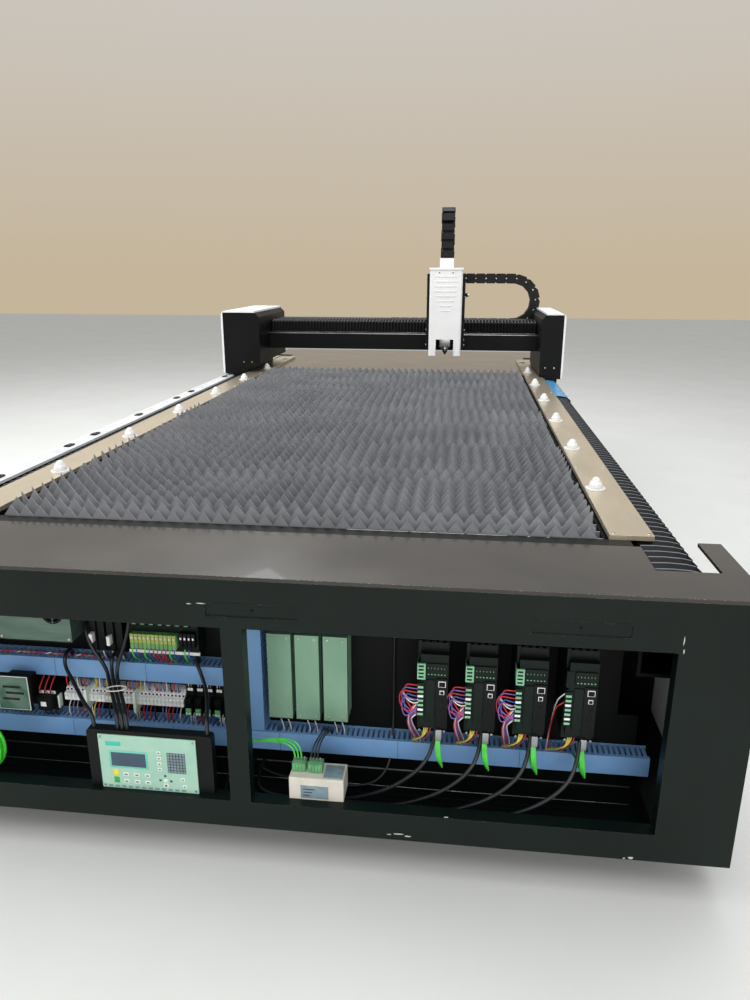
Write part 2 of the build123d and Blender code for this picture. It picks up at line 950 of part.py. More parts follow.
meter_inset, meter_width = 117.0, 84.0
meter_x = (meter_inset - panel_half, meter_inset + meter_width - panel_half)
meter_z = (-423.0, -328.0)
meter_depth = 114.0
bezel_thickness = 8.0
meter_body_depth = 50.0


def display_meter():
    """Panel meter held in front of the trunking by a bracket from below it."""
    bezel_back = gear_back - meter_depth + bezel_thickness
    bezel = block(meter_x, (gear_back - meter_depth, bezel_back), (up(meter_z[0]), up(meter_z[1])))
    body = block(
        (meter_x[0] + 5, meter_x[1] - 17),
        (bezel_back, bezel_back + meter_body_depth),
        (up(meter_z[0] + 11), up(meter_z[1] - 22)),
    )
    bracket = on_panel((meter_x[0] + 12, meter_x[0] + 37), (duct_high - 58, duct_high - 11), 60)
    return bezel + body + bracket


save("display_meter", display_meter())

# Control pendant, set down on the sill of the left bay
pendant_x = (-402.0, -114.0)
pendant_height = 149.0
pendant_depth = 22.0
pendant_radius = 8.0
overlay_x = (-375.0, -150.0)
overlay_height = 139.0
overlay_thickness = 2.5
screen_x, screen_rise = (-348.0, -268.0), (60.0, 95.0)
sill = bay_low
pendant_top = sill + pendant_height


def pendant_housing():
    y = (y_front + pendant_front, y_front + pendant_front + pendant_depth)
    body = block(pendant_x, y, (sill, pendant_top))
    return fillet(body.edges().filter_by(Axis.Y).group_by(Axis.Z)[-1], pendant_radius)


def pendant_overlay():
    y1 = y_front + pendant_front
    plate = block(overlay_x, (y1 - overlay_thickness, y1), (sill + 1, sill + overlay_height))
    screen_y = (y1 - 2 * overlay_thickness, y1 - overlay_thickness + 1)
    screen = block(screen_x, screen_y, (sill + screen_rise[0], sill + screen_rise[1]))
    return plate - screen


save("pendant_housing", pendant_housing())
save("pendant_overlay", pendant_overlay())


module_x, module_height = (54.0, 176.0), 54.0
module_depth = 62.0
module_plug_x = ((57.0, 87.0), (93.0, 125.0))
module_plug_height = 22.0
module_plug_depth = 24.0


def io_module():
    y0 = y_front + 25
    body = block(module_x, (y0, y0 + module_depth), (sill, sill + module_height))
    return chamfer(body.edges().filter_by(Axis.X).group_by(Axis.Z)[-1], 2)


save("io_module", io_module())
plug_y = (y_front + 46, y_front + 46 + module_plug_depth)
plug_z = (sill + module_height, sill + module_height + module_plug_height)
module_plugs = [block(x, plug_y, plug_z) for x in module_plug_x]
save("plug_connectors", [signal_plugs] + module_plugs)

# Network cable, coiled and stood on edge on the sill of the left bay
coil_radius = 68.0
coil_wire_radius = 4.5
coil_turns = 4
coil_x = -690.0
coil_turn = Rot(90, 0, 0) * Torus(coil_radius, coil_wire_radius)
coil_z = sill + coil_radius + coil_wire_radius
coil_pitch = 2 * coil_wire_radius + clearance
save(
    "network_cable",
    [
        Pos(coil_x + 3 * (index % 2), y_front + 8 + coil_pitch * index, coil_z) * coil_turn
        for index in range(coil_turns)
    ],
)


def cable(points, radius):
    """A tube along straight runs joined by arcs as large as the runs allow."""
    route = [Vector(*point) for point in points]
    runs = [b - a for a, b in zip(route, route[1:])]
    bends = []
    for before, after in zip(runs, runs[1:]):
        turn = math.radians(before.get_angle(after))
        bends.append(0.45 * min(before.length, after.length) / math.tan(turn / 2))
    path = FilletPolyline(*route, radius=bends)
    start = Plane(origin=path @ 0, z_dir=path % 0)
    return sweep(start * Circle(radius), path)


def between(low, high, share):
    """A height part of the way from one level to another."""
    return low + share * (high - low)


def drive_cable(x, index):
    """From the underside of a drive, forward of the trunking, then left along the floor to the panel."""
    y = gear_back - drive_depth + 40 - 11 * index
    top = up(drive_low)
    lying = cabinet_bottom + cabinet_floor_rise + wire_radius + clearance
    return cable(
        [
            (x + 40, y, top),
            (x + 40, y, between(lying, top, 0.78)),
            (x + 20, y - 28, between(lying, top, 0.55)),
            (x - 40, y - 36, between(lying, top, 0.29)),
            (x - 120, y - 34, between(lying, top, 0.09)),
            (x - 200, y - 30, lying),
            (-20 - 24 * index, y - 30, lying),
            (-58 - 24 * index, y + 20, lying),
            (-58 - 24 * index, gear_back, lying),
        ],
        wire_radius,
    )


drive_cables = [drive_cable(x, index) for index, x in enumerate(drive_places)]


arch = up(-290)


def hang(share):
    """A height on a cable's way from its arch down to the top of the pendant."""
    return between(pendant_top, arch, share)


def from_duct(x):
    """Up out of the upper trunking through its slot."""
    y = gear_back - duct_depth / 2 - 2
    return [(x, y, up(duct_high + 10)), (x, y, arch)]


def to_pendant(x):
    """Down into the top of the pendant."""
    y = y_front + pendant_front + pendant_depth / 2
    return [(x, y, hang(0.27)), (x, y, pendant_top)]


def bundle(offset):
    """The stretch that three of the pendant's cables share, side by side."""
    return [
        (-400 + offset, bed(-160), hang(0.72)),
        (-378 + offset, bed(-196), hang(0.48)),
        (-345 + offset, bed(-246), hang(0.33)),
    ]


left_way = [(-518, bed(-150), hang(0.98)), (-516, bed(-162), hang(0.72)), (-482, bed(-190), hang(0.48))]
first_way = [(-472, gear_back, up(-206)), (-472, bed(-132), up(-212)), (-452, bed(-152), up(-264))]
third_way = [(-338, bed(-150), under_deck), (-338, bed(-150), up(-130)), (-354, bed(-152), up(-232))]
right_way = [(-194, bed(-150), hang(0.98)), (-176, bed(-164), hang(0.68)), (-150, bed(-204), hang(0.4))]
pendant_routes = [
    from_duct(-520) + left_way + [(-436, bed(-240), hang(0.32))] + to_pendant(-387),
    first_way + bundle(-11) + to_pendant(-332),
    from_duct(-400) + [(-400, bed(-150), arch)] + bundle(0) + to_pendant(-321),
    third_way + bundle(11) + to_pendant(-310),
    from_duct(-200) + right_way + to_pendant(-126),
]
pendant_cables = [cable(route, wire_radius) for route in pendant_routes]
save("cabinet_cables", drive_cables + pendant_cables)


# Gantry legs: open shells, stepped below so that they pass over the side plates and balls
def leg(outer, inner, step, step_height):
    """Outline of a right-hand leg in (x, z), drawn out along Y and hollowed."""
    low, high = up(leg_bottom), up(leg_height)
    outline = [
        (outer, low),
        (outer, high),
        (inner + leg_chamfer, high),
        (inner, high - leg_chamfer),
        (inner, up(step_height)),
        (step, up(step_height)),
        (step, low),
    ]
    body = along_y(outline, (bed(gantry_front), bed(gantry_rear)))
    hollow = [
        (outer + 1, low + leg_wall),
        (outer + 1, high + 1),
        (inner + leg_chamfer + 1, high + 1),
        (inner + leg_wall, high - leg_chamfer - 3),
        (inner + leg_wall, up(step_height) + leg_wall),
        (step + leg_wall, up(step_height) + leg_wall),
        (step + leg_wall, low + leg_wall),
    ]
    inside = along_y(hollow, (bed(gantry_front) + leg_wall, bed(gantry_rear) - leg_wall))
    return body - inside - rod(pinion_x, pinion_y, (low - 5, low + 20), shaft_radius + 3)


def leg_shell(outer, inner):
    """Rounded cover over a leg's outer side and top."""
    low, high = up(leg_bottom + 6), up(leg_height) + shell_thickness
    edge = outer + shell_thickness
    y = (bed(gantry_front) - shell_overlap, bed(gantry_rear) + shell_overlap)
    shell = block((inner + leg_chamfer, edge), y, (low, high))
    shell -= block((inner, outer), (y[0] - 1, y[1] + 1), (low - 1, high - shell_thickness))
    corner = shell.edges().filter_by(Axis.Y).sort_by(lambda e: -(e.center().X + e.center().Z))[0]
    return fillet(corner, shell_radius)


pinion_x = rack_outer + pinion_radius
pinion_y = bed(gantry_front) + leg_depth / 2
leg_right = leg(right_leg_outer, right_leg_inner, leg_step_inner, plate_pass_height)
leg_left = turned(leg(left_leg_outer, left_leg_inner, leg_step_inner, ball_pass_height))
save("gantry_legs", [leg_right, leg_left])
save(
    "leg_shells",
    [
        leg_shell(right_leg_outer, right_leg_inner),
        turned(leg_shell(left_leg_outer, left_leg_inner)),
    ],
)


# Feet under the legs: they reach in beneath the side plates and stand on the carriage blocks
def gantry_foot():
    outline = [
        (foot_base_inner, up(-foot_drop)),
        (bellows_outer, up(-foot_drop)),
        (bellows_outer, up(leg_bottom)),
        (leg_step_inner, up(leg_bottom)),
        (leg_step_inner, up(-deck_thickness - 4)),
        (foot_base_inner, up(-deck_thickness - 4)),
    ]
    body = along_y(outline, (bed(gantry_front) + clearance, bed(gantry_rear) - clearance))
    return body - rod(pinion_x, pinion_y, (up(-60), up(10)), shaft_radius + 3)


arm_y = bed(gantry_front) + leg_depth / 2
chain_arm = block(
    (-tray_outer + tray_wall + 5, -bellows_outer),
    (arm_y - 30, arm_y + 30),
    (up(-foot_drop - 10), up(-foot_drop + 2)),
)
chain_drop = block(
    (-tray_outer + tray_wall + 5, -beam_outer - 4),
    (arm_y - 30, arm_y + 30),
    (y_chain_low + 2 * y_chain_radius + y_chain_height / 2, up(-foot_drop - 10)),
)
left_foot = turned(gantry_foot()) + chain_arm + chain_drop
save("gantry_feet", [gantry_foot(), left_foot])


def carriage_block(y):
    body = block(
        (rail_inset - block_width / 2, rail_inset + block_width / 2),
        (y, y + block_length),
        (up(-foot_drop - block_height), up(-foot_drop)),
    )
    slot = block(
        (rail_inset - rail_width / 2 - clearance, rail_inset + rail_width / 2 + clearance),
        (y - 1, y + block_length + 1),
        (0, up(-beam_drop + rail_height) + clearance),
    )
    return body - slot


block_places = (bed(gantry_front) + 40, bed(gantry_rear) - 40 - block_length)
save("y_carriages", [piece for y in block_places for piece in both(carriage_block(y))])


def y_motor():
    """Motor body standing in the leg, with its shaft through the leg and foot to the pinion."""
    low = up(leg_bottom) + leg_wall
    half = motor_size / 2
    body = block(
        (pinion_x - half, pinion_x + half),
        (pinion_y - half, pinion_y + half),
        (low, low + motor_height),
    )
    body -= rod(pinion_x, pinion_y, (low - 1, low + motor_bore), shaft_radius + running_gap)
    return body


save("y_motors", both(y_motor()))


def gear(radius, teeth, height):
    """A small toothed wheel, its axis upright through the origin, standing on it."""
    tooth_depth = 2.25 * 2 * radius / teeth
    root = radius - tooth_depth
    points = []
    for tooth in range(teeth):
        for share, reach in ((0.0, root), (0.22, radius), (0.5, radius), (0.72, root)):
            angle = 2 * math.pi * (tooth + share) / teeth
            points.append((reach * math.cos(angle), reach * math.sin(angle)))
    return extrude(make_face(Polyline(*points, close=True)), height)


def y_pinion():
    low = up(-beam_drop) + 2
    wheel = Pos(pinion_x, pinion_y, low) * gear(pinion_radius - clearance, pinion_teeth, pinion_height)
    top = up(leg_bottom) + leg_wall + motor_bore - 1
    return wheel + rod(pinion_x, pinion_y, (low, top), shaft_radius)


save("y_pinion_right", y_pinion())
save("y_pinion_left", turned(y_pinion()))

# Gantry beam: a hollow section with a shelf in front of the rails
beam_low, beam_mid, beam_high = up(beam_bottom), up(beam_shelf), up(beam_top)
y_beam = bed(beam_front)
y_wall = y_beam + beam_recess
y_back = y_beam + beam_depth


def gantry_beam():
    outline = [
        (y_beam, beam_low),
        (y_back, beam_low),
        (y_back, beam_high),
        (y_wall, beam_high),
        (y_wall, beam_mid),
        (y_beam, beam_mid),
    ]
    wall = gantry_wall
    inner = [
        (y_beam + wall, beam_low + wall),
        (y_back - wall, beam_low + wall),
        (y_back - wall, beam_high - wall),
        (y_wall + wall, beam_high - wall),
        (y_wall + wall, beam_mid - wall),
        (y_beam + wall, beam_mid - wall),
    ]
    x = (-left_leg_inner, right_leg_inner)
    return along_x(outline, x) - along_x(inner, (x[0] - 1, x[1] + 1))


save("gantry_beam", gantry_beam())

x_ends = (-left_leg_inner + 2, right_leg_inner - 2)
x_rails = [
    block(x_ends, (y_wall - x_rail_size, y_wall), (up(z), up(z) + x_rail_size))
    for z in (x_rail_low, x_rail_high - x_rail_size)
]
rack_y = (y_beam + 72, y_beam + 86)
x_rack = block(x_ends, rack_y, (beam_mid, beam_mid + x_rack_height))
save("x_guideway", x_rails + [x_rack])

# Head carriage: plate behind the cover, an arm to the rail blocks, and an arm to the drag chain
cover_back = gantry_front + cover_depth
cover_x = (head_x - cover_width / 2, head_x + cover_width / 2)
plate_x = (cover_x[0] - side_plate_thickness, cover_x[1] + side_plate_thickness)
y_plate = (bed(cover_back) + 1, bed(cover_back) + 1 + head_plate_thickness)
arm_x = (head_x - 30, cover_x[1])
arm_z = (beam_mid + x_rack_height + 3, up(beam_top - 2))
block_y = (y_wall - x_rail_size - 16, y_wall - 4)
reach_y = bed(gantry_rear) + 12


def head_carriage():
    body = block(cover_x, y_plate, (up(side_plate_bottom - 8), up(side_plate_top)))
    body += block(arm_x, (y_plate[1], block_y[0]), arm_z)
    for x in (arm_x[0], arm_x[1] - 46):
        for z in (x_rail_low, x_rail_high - x_rail_size):
            middle = up(z) + x_rail_size / 2
            bearing = block((x, x + 46), block_y, (middle - 14, middle + 14))
            slot = (middle - x_rail_size / 2 - clearance, middle + x_rail_size / 2 + clearance)
            bearing -= block((x - 1, x + 47), (y_wall - x_rail_size - clearance, y_wall + 1), slot)
            body += bearing
    return body


save("head_carriage", head_carriage())


def head_side_plate(x):
    z = (up(side_plate_bottom), up(side_plate_top))
    plate = block((x, x + side_plate_thickness), (bed(gantry_front + side_plate_setback), y_plate[1]), z)
    return plate


chain_arm_x = (plate_x[1] - side_plate_thickness, plate_x[1])
head_arm = block(
    chain_arm_x,
    (y_plate[1], reach_y + x_chain_width),
    (up(side_plate_top - head_arm_height), up(side_plate_top)),
)
save(
    "head_side_plates",
    [head_side_plate(plate_x[0]), head_side_plate(chain_arm_x[0]) + head_arm],
)


def head_cover():
    y = (bed(gantry_front), bed(cover_back))
    z = (up(cover_bottom), up(cover_top))
    body = block(cover_x, y, z)
    body = fillet(body.edges().filter_by(Axis.Z).group_by(Axis.Y)[0], cover_radius)
    inner = block(
        (cover_x[0] + cover_wall, cover_x[1] - cover_wall),
        (y[0] + cover_wall, y[1] + 1),
        (z[0] - 1, z[1] - cover_wall),
    )
    body -= inner
    half = window_width / 2
    body -= block(
        (head_x - half, head_x + half),
        (y[0] - 1, y[0] + 2 * cover_wall),
        (z[0] - 1, z[0] + window_height),
    )
    return body


cap_y = bed(gantry_front) + 60
chain_cap = block(
    (head_x - cap_width / 2, head_x + cap_width / 2),
    (cap_y, cap_y + cap_depth),
    (up(cover_top), up(cover_top + cap_height)),
)
save("head_cover", [head_cover(), fillet(chain_cap.edges().filter_by(Axis.Z), 6)])

# Drive of the head along the beam
x_pinion_x = cover_x[0] + 32
x_pinion_y = rack_y[0] - x_pinion_radius
x_motor_low = beam_high + 12
x_motor_half = 28.0


def x_motor():
    y = (y_plate[1], y_plate[1] + 2 * x_motor_half + 34)
    body = block(
        (x_pinion_x - x_motor_half, x_pinion_x + x_motor_half),
        y,
        (x_motor_low, x_motor_low + 120),
    )
    body -= rod(x_pinion_x, x_pinion_y, (x_motor_low - 1, x_motor_low + 40), shaft_radius + running_gap)
    return body


x_pinion = Pos(x_pinion_x, x_pinion_y, beam_mid + 2) * gear(
    x_pinion_radius - clearance, x_pinion_teeth, x_pinion_height
)
x_pinion += rod(x_pinion_x, x_pinion_y, (beam_mid + 2, x_motor_low + 39), shaft_radius)
save("x_pinion", x_pinion)

# Lift: motor and bearing, screw, slide with its nut, and the cutting head on it
y_screw = y_plate[0] - 24
screw_low = up(250)
screw_high = screw_low + z_screw_length
z_guide_width = 12.0
z_guide_depth = 12.0


def lift_guides():
    """Two upright rails and the screw's motor with its bearing, on the carriage plate."""
    pieces = [
        block(
            (x - z_guide_width / 2, x + z_guide_width / 2),
            (y_plate[0] - z_guide_depth, y_plate[0]),
            (up(200), up(530)),
        )
        for x in (head_x - 50, head_x + 50)
    ]
    motor = block((head_x - 24, head_x + 24), (y_screw - 24, y_plate[0]), (screw_high, screw_high + 70))
    motor -= rod(head_x, y_screw, (screw_high - 1, screw_high + 31), z_screw_radius + running_gap)
    pieces.append(motor)
    return pieces


save("head_drives", lift_guides() + [x_motor()])
z_screw = rod(head_x, y_screw, (screw_low, screw_high + 30), z_screw_radius)
save("z_screw", z_screw)


def z_slide():
    y1 = y_screw - z_screw_radius - 8
    low = up(290)
    body = block(
        (head_x - z_slide_width / 2, head_x + z_slide_width / 2),
        (y1 - z_slide_thickness, y1),
        (low, low + z_slide_height - 70),
    )
    body += block((head_x - 18, head_x + 18), (y1, y_screw + 11), (low + 60, low + 100))
    body -= rod(head_x, y_screw, (low, low + z_slide_height), z_screw_radius + running_gap)
    for x in (head_x - 50, head_x + 50):
        runner = block((x - 12, x + 12), (y1, y_plate[0] - 2), (low + 10, low + z_slide_height - 80))
        half = z_guide_width / 2 + clearance
        guide = block(
            (x - half, x + half),
            (y_plate[0] - z_guide_depth - clearance, y_plate[0]),
            (low, low + z_slide_height),
        )
        body += runner - guide
    return body


save("z_slide", z_slide())
body_y = y_screw - z_screw_radius - 8 - z_slide_thickness
body_centre = body_y - head_body_width / 2
body_low = up(nozzle_tip + nozzle_height + 26)


def cutting_head():
    half = head_body_width / 2
    body = block(
        (head_x - half, head_x + half),
        (body_centre - half, body_y),
        (body_low, body_low + head_body_height),
    )
    body = chamfer(body.edges().filter_by(Axis.Z).group_by(Axis.Y)[0], 8)
    neck = Pos(head_x, body_centre, body_low - 13) * Cylinder(half - 4, 26)
    return body + neck


save("cutting_head", cutting_head())
nozzle_outline = Polyline(
    (0, up(nozzle_tip)),
    (3, up(nozzle_tip)),
    (nozzle_radius, up(nozzle_tip + 20)),
    (nozzle_radius, up(nozzle_tip + nozzle_height)),
    (0, up(nozzle_tip + nozzle_height)),
    close=True,
)
nozzle = Pos(head_x, body_centre, 0) * revolve(Plane.XZ * make_face(nozzle_outline), Axis.Z)
nozzle -= rod(head_x, body_centre, (up(nozzle_tip - 1), up(nozzle_tip + 12)), 1.2)
save("nozzle", nozzle)


# Bellows of the beam, on both sides of the head
def x_bellows(start, end):
    """Pleated roof and front over the beam's recess."""
    y0, y1 = y_beam + x_bellows_front, y_wall - 2
    roof = pleats(start, end, x_bellows_pleat, beam_high - x_bellows_depth, x_bellows_depth)
    outline = roof + [(end, beam_high - x_bellows_depth - x_bellows_wall)]
    outline += [(start, beam_high - x_bellows_depth - x_bellows_wall)]
    skin = along_y(outline, (y0, y1))
    front = block((start, end), (y0, y0 + x_bellows_wall), (beam_mid + 2, beam_high - x_bellows_depth - 1))
    return skin + front


bellows_left = x_bellows(-left_leg_inner + clearance, plate_x[0] - clearance)
bellows_right = x_bellows(plate_x[1] + clearance, right_leg_inner - clearance)
save("bellows_x", [bellows_left, bellows_right])


# Drag chains: hexagonal links whose points meet on the chain's middle line
def chain_links(anchor, bend, moving, low, radius, height, pitch):
    """Link outlines of a chain: a run from anchor to bend, a half turn, and a run back to moving."""
    first, arc, last = abs(bend - anchor), math.pi * radius, abs(bend - moving)
    way = 1 if bend > anchor else -1
    count = round((first + arc + last) / pitch)
    step = (first + arc + last) / count

    def joint(place):
        if place <= first:
            return anchor + way * place, low
        if place <= first + arc:
            angle = (place - first) / radius
            return bend + way * radius * math.sin(angle), low + radius - radius * math.cos(angle)
        return bend - way * (place - first - arc), low + 2 * radius

    lean = math.tan(step / radius / 2)
    outlines = []
    for index in range(count):
        (u0, v0), (u1, v1) = joint(index * step), joint((index + 1) * step)
        chord = math.hypot(u1 - u0, v1 - v0)
        along = ((u1 - u0) / chord, (v1 - v0) / chord)
        half, rise = (chord - clearance) / 2, height / 2
        short = half - rise * lean - clearance
        local = ((half, 0), (short, rise), (-short, rise), (-half, 0), (-short, -rise), (short, -rise))
        mid = ((u0 + u1) / 2, (v0 + v1) / 2)
        outlines.append(
            [(mid[0] + a * along[0] - b * along[1], mid[1] + a * along[1] + b * along[0]) for a, b in local]
        )
    return outlines


x_chain_low = up(x_chain_top) - 2 * x_chain_radius
x_chain_y = (reach_y, reach_y + x_chain_width)
x_links = chain_links(
    x_chain_anchor, x_chain_bend, plate_x[1], x_chain_low, x_chain_radius, x_chain_height, x_chain_pitch
)
save("x_drag_chain", [along_y(outline, x_chain_y) for outline in x_links])
x_tray_floor = x_chain_low - x_chain_height / 2
x_tray_margin = 4.0
x_tray_end = 960.0
x_tray_rise = 40.0
x_tray_back = reach_y + x_chain_width + x_tray_margin
x_tray_x = (x_chain_anchor - 20, x_tray_end)
x_tray = block(x_tray_x, (reach_y - x_tray_margin, x_tray_back), (x_tray_floor - tray_wall, x_tray_floor))
x_tray += block(
    x_tray_x,
    (x_tray_back - tray_wall, x_tray_back),
    (x_tray_floor - tray_wall, x_tray_floor + x_tray_rise),
)
for x in (x_chain_anchor, 250, 580):
    x_tray += block((x, x + 60), (y_back, reach_y), (x_tray_floor - tray_wall, x_tray_floor))
save("x_chain_tray", x_tray)

y_chain_x = (-tray_outer + tray_wall + 4, -beam_outer - 5)
y_links = chain_links(
    bed(y_chain_anchor), bed(y_chain_bend), arm_y, y_chain_low, y_chain_radius, y_chain_height, y_chain_pitch
)
save("y_drag_chain", [along_x(outline, y_chain_x) for outline in y_links])

head_chain_y = bed(gantry_front) + 95
head_chain_x = (head_x - head_chain_width / 2, head_x + head_chain_width / 2)
chain_turn = up(head_chain_top) - head_chain_radius - head_chain_height / 2
head_links = chain_links(
    up(cover_top + cap_height),
    chain_turn,
    up(head_chain_end),
    head_chain_y,
    head_chain_radius,
    head_chain_height,
    head_chain_pitch,
)
save("head_chain", [along_x([(v, u) for u, v in outline], head_chain_x) for outline in head_links])
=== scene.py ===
import json
import math
import random

import bmesh
import bpy
from mathutils import Matrix, Vector
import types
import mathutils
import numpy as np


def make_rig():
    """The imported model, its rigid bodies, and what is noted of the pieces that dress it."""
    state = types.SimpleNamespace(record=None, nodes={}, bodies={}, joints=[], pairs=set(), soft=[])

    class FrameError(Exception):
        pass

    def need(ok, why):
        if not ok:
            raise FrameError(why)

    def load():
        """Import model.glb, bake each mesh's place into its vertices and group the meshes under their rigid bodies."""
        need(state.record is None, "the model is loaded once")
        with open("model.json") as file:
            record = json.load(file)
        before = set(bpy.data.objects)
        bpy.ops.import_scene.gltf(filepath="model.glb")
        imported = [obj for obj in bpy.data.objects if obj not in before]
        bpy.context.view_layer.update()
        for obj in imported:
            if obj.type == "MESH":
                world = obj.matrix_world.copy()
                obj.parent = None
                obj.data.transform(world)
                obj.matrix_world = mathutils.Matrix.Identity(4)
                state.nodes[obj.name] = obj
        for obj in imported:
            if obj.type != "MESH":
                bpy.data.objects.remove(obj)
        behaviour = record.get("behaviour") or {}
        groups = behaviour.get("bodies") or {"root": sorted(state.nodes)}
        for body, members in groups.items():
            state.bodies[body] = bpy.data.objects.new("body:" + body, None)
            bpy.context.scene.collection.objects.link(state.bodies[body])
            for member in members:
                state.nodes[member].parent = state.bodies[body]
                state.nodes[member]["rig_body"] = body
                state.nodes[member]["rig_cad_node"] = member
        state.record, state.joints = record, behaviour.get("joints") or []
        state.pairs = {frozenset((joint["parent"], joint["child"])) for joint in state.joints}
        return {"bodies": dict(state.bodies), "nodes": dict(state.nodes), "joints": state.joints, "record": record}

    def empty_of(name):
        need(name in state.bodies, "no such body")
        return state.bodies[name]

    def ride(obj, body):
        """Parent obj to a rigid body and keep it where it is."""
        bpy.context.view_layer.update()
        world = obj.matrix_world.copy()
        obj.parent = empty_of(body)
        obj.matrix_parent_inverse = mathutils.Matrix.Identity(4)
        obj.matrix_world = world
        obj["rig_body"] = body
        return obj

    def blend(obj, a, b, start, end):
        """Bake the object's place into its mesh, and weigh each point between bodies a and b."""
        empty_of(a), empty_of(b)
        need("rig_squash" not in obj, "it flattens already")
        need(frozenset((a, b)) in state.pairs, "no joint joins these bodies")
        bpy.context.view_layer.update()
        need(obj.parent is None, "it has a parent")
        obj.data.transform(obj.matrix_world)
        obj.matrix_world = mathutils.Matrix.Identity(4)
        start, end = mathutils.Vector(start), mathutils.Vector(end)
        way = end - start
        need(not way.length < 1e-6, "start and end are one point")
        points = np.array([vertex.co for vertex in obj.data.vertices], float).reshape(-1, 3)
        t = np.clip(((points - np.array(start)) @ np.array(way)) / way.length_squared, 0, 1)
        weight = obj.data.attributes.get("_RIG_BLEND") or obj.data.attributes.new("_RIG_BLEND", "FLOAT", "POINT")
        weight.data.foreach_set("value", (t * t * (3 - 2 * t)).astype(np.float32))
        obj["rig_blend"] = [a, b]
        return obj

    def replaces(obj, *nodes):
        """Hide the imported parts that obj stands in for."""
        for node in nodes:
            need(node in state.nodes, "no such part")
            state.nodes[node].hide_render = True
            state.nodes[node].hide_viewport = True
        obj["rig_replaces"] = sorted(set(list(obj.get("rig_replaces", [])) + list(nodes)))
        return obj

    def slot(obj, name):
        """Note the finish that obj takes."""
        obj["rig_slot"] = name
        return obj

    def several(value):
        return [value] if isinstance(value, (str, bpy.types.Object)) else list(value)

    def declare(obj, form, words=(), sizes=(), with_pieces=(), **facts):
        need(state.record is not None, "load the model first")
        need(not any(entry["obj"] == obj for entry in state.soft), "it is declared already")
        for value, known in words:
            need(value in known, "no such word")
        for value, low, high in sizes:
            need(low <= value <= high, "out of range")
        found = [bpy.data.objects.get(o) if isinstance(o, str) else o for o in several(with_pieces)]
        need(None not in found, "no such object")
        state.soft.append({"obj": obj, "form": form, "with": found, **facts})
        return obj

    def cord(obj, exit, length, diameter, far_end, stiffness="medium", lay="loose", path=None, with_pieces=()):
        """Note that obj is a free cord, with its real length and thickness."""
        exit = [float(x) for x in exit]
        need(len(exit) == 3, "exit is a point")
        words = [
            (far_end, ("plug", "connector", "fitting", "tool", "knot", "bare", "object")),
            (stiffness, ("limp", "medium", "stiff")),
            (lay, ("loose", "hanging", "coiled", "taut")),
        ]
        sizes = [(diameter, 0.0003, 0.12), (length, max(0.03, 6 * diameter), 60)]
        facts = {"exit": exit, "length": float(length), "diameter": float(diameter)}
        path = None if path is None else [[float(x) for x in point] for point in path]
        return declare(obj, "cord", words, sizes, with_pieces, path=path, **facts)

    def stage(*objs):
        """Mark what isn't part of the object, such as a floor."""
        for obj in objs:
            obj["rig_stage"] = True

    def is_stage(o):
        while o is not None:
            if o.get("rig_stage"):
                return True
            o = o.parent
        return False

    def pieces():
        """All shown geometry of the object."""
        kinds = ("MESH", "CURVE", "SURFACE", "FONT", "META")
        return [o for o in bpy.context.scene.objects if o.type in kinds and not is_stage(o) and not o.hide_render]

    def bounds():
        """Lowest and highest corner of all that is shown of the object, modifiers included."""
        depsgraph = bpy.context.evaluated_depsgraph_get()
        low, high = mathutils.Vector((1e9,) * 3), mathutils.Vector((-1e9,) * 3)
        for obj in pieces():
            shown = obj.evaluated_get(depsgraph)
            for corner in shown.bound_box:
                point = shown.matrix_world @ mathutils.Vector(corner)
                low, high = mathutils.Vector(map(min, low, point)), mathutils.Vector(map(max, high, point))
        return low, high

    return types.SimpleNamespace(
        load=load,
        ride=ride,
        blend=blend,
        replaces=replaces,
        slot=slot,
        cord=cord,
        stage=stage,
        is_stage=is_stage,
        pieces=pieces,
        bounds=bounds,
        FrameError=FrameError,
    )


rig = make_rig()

# Shapes are given in millimetres from the near end of the slat bed, with heights from the deck.
# place() turns them into the frame's metres.
BED_START = -1.895
DECK = 0.7
SCREEN_RIGHT = Vector((0.99330046, 0.11554674, 0.00177509))
SCREEN_UP = Vector((-0.03552137, 0.29067124, 0.95616341))
SCREEN_AWAY = Vector((-0.10996559, 0.9498206, -0.29282826))

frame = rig.load()
cad_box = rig.bounds()
nodes = frame["nodes"]
dice = random.Random(7)


def place(x, y, z):
    return Vector((x / 1000, y / 1000 + BED_START, z / 1000 + DECK))


def rgb(red, green, blue):
    """A linear colour from screen values."""
    def linear(c):
        c = c / 255
        return c / 12.92 if c < 0.04 else ((c + 0.055) / 1.055) ** 2.4
    return (linear(red), linear(green), linear(blue), 1.0)


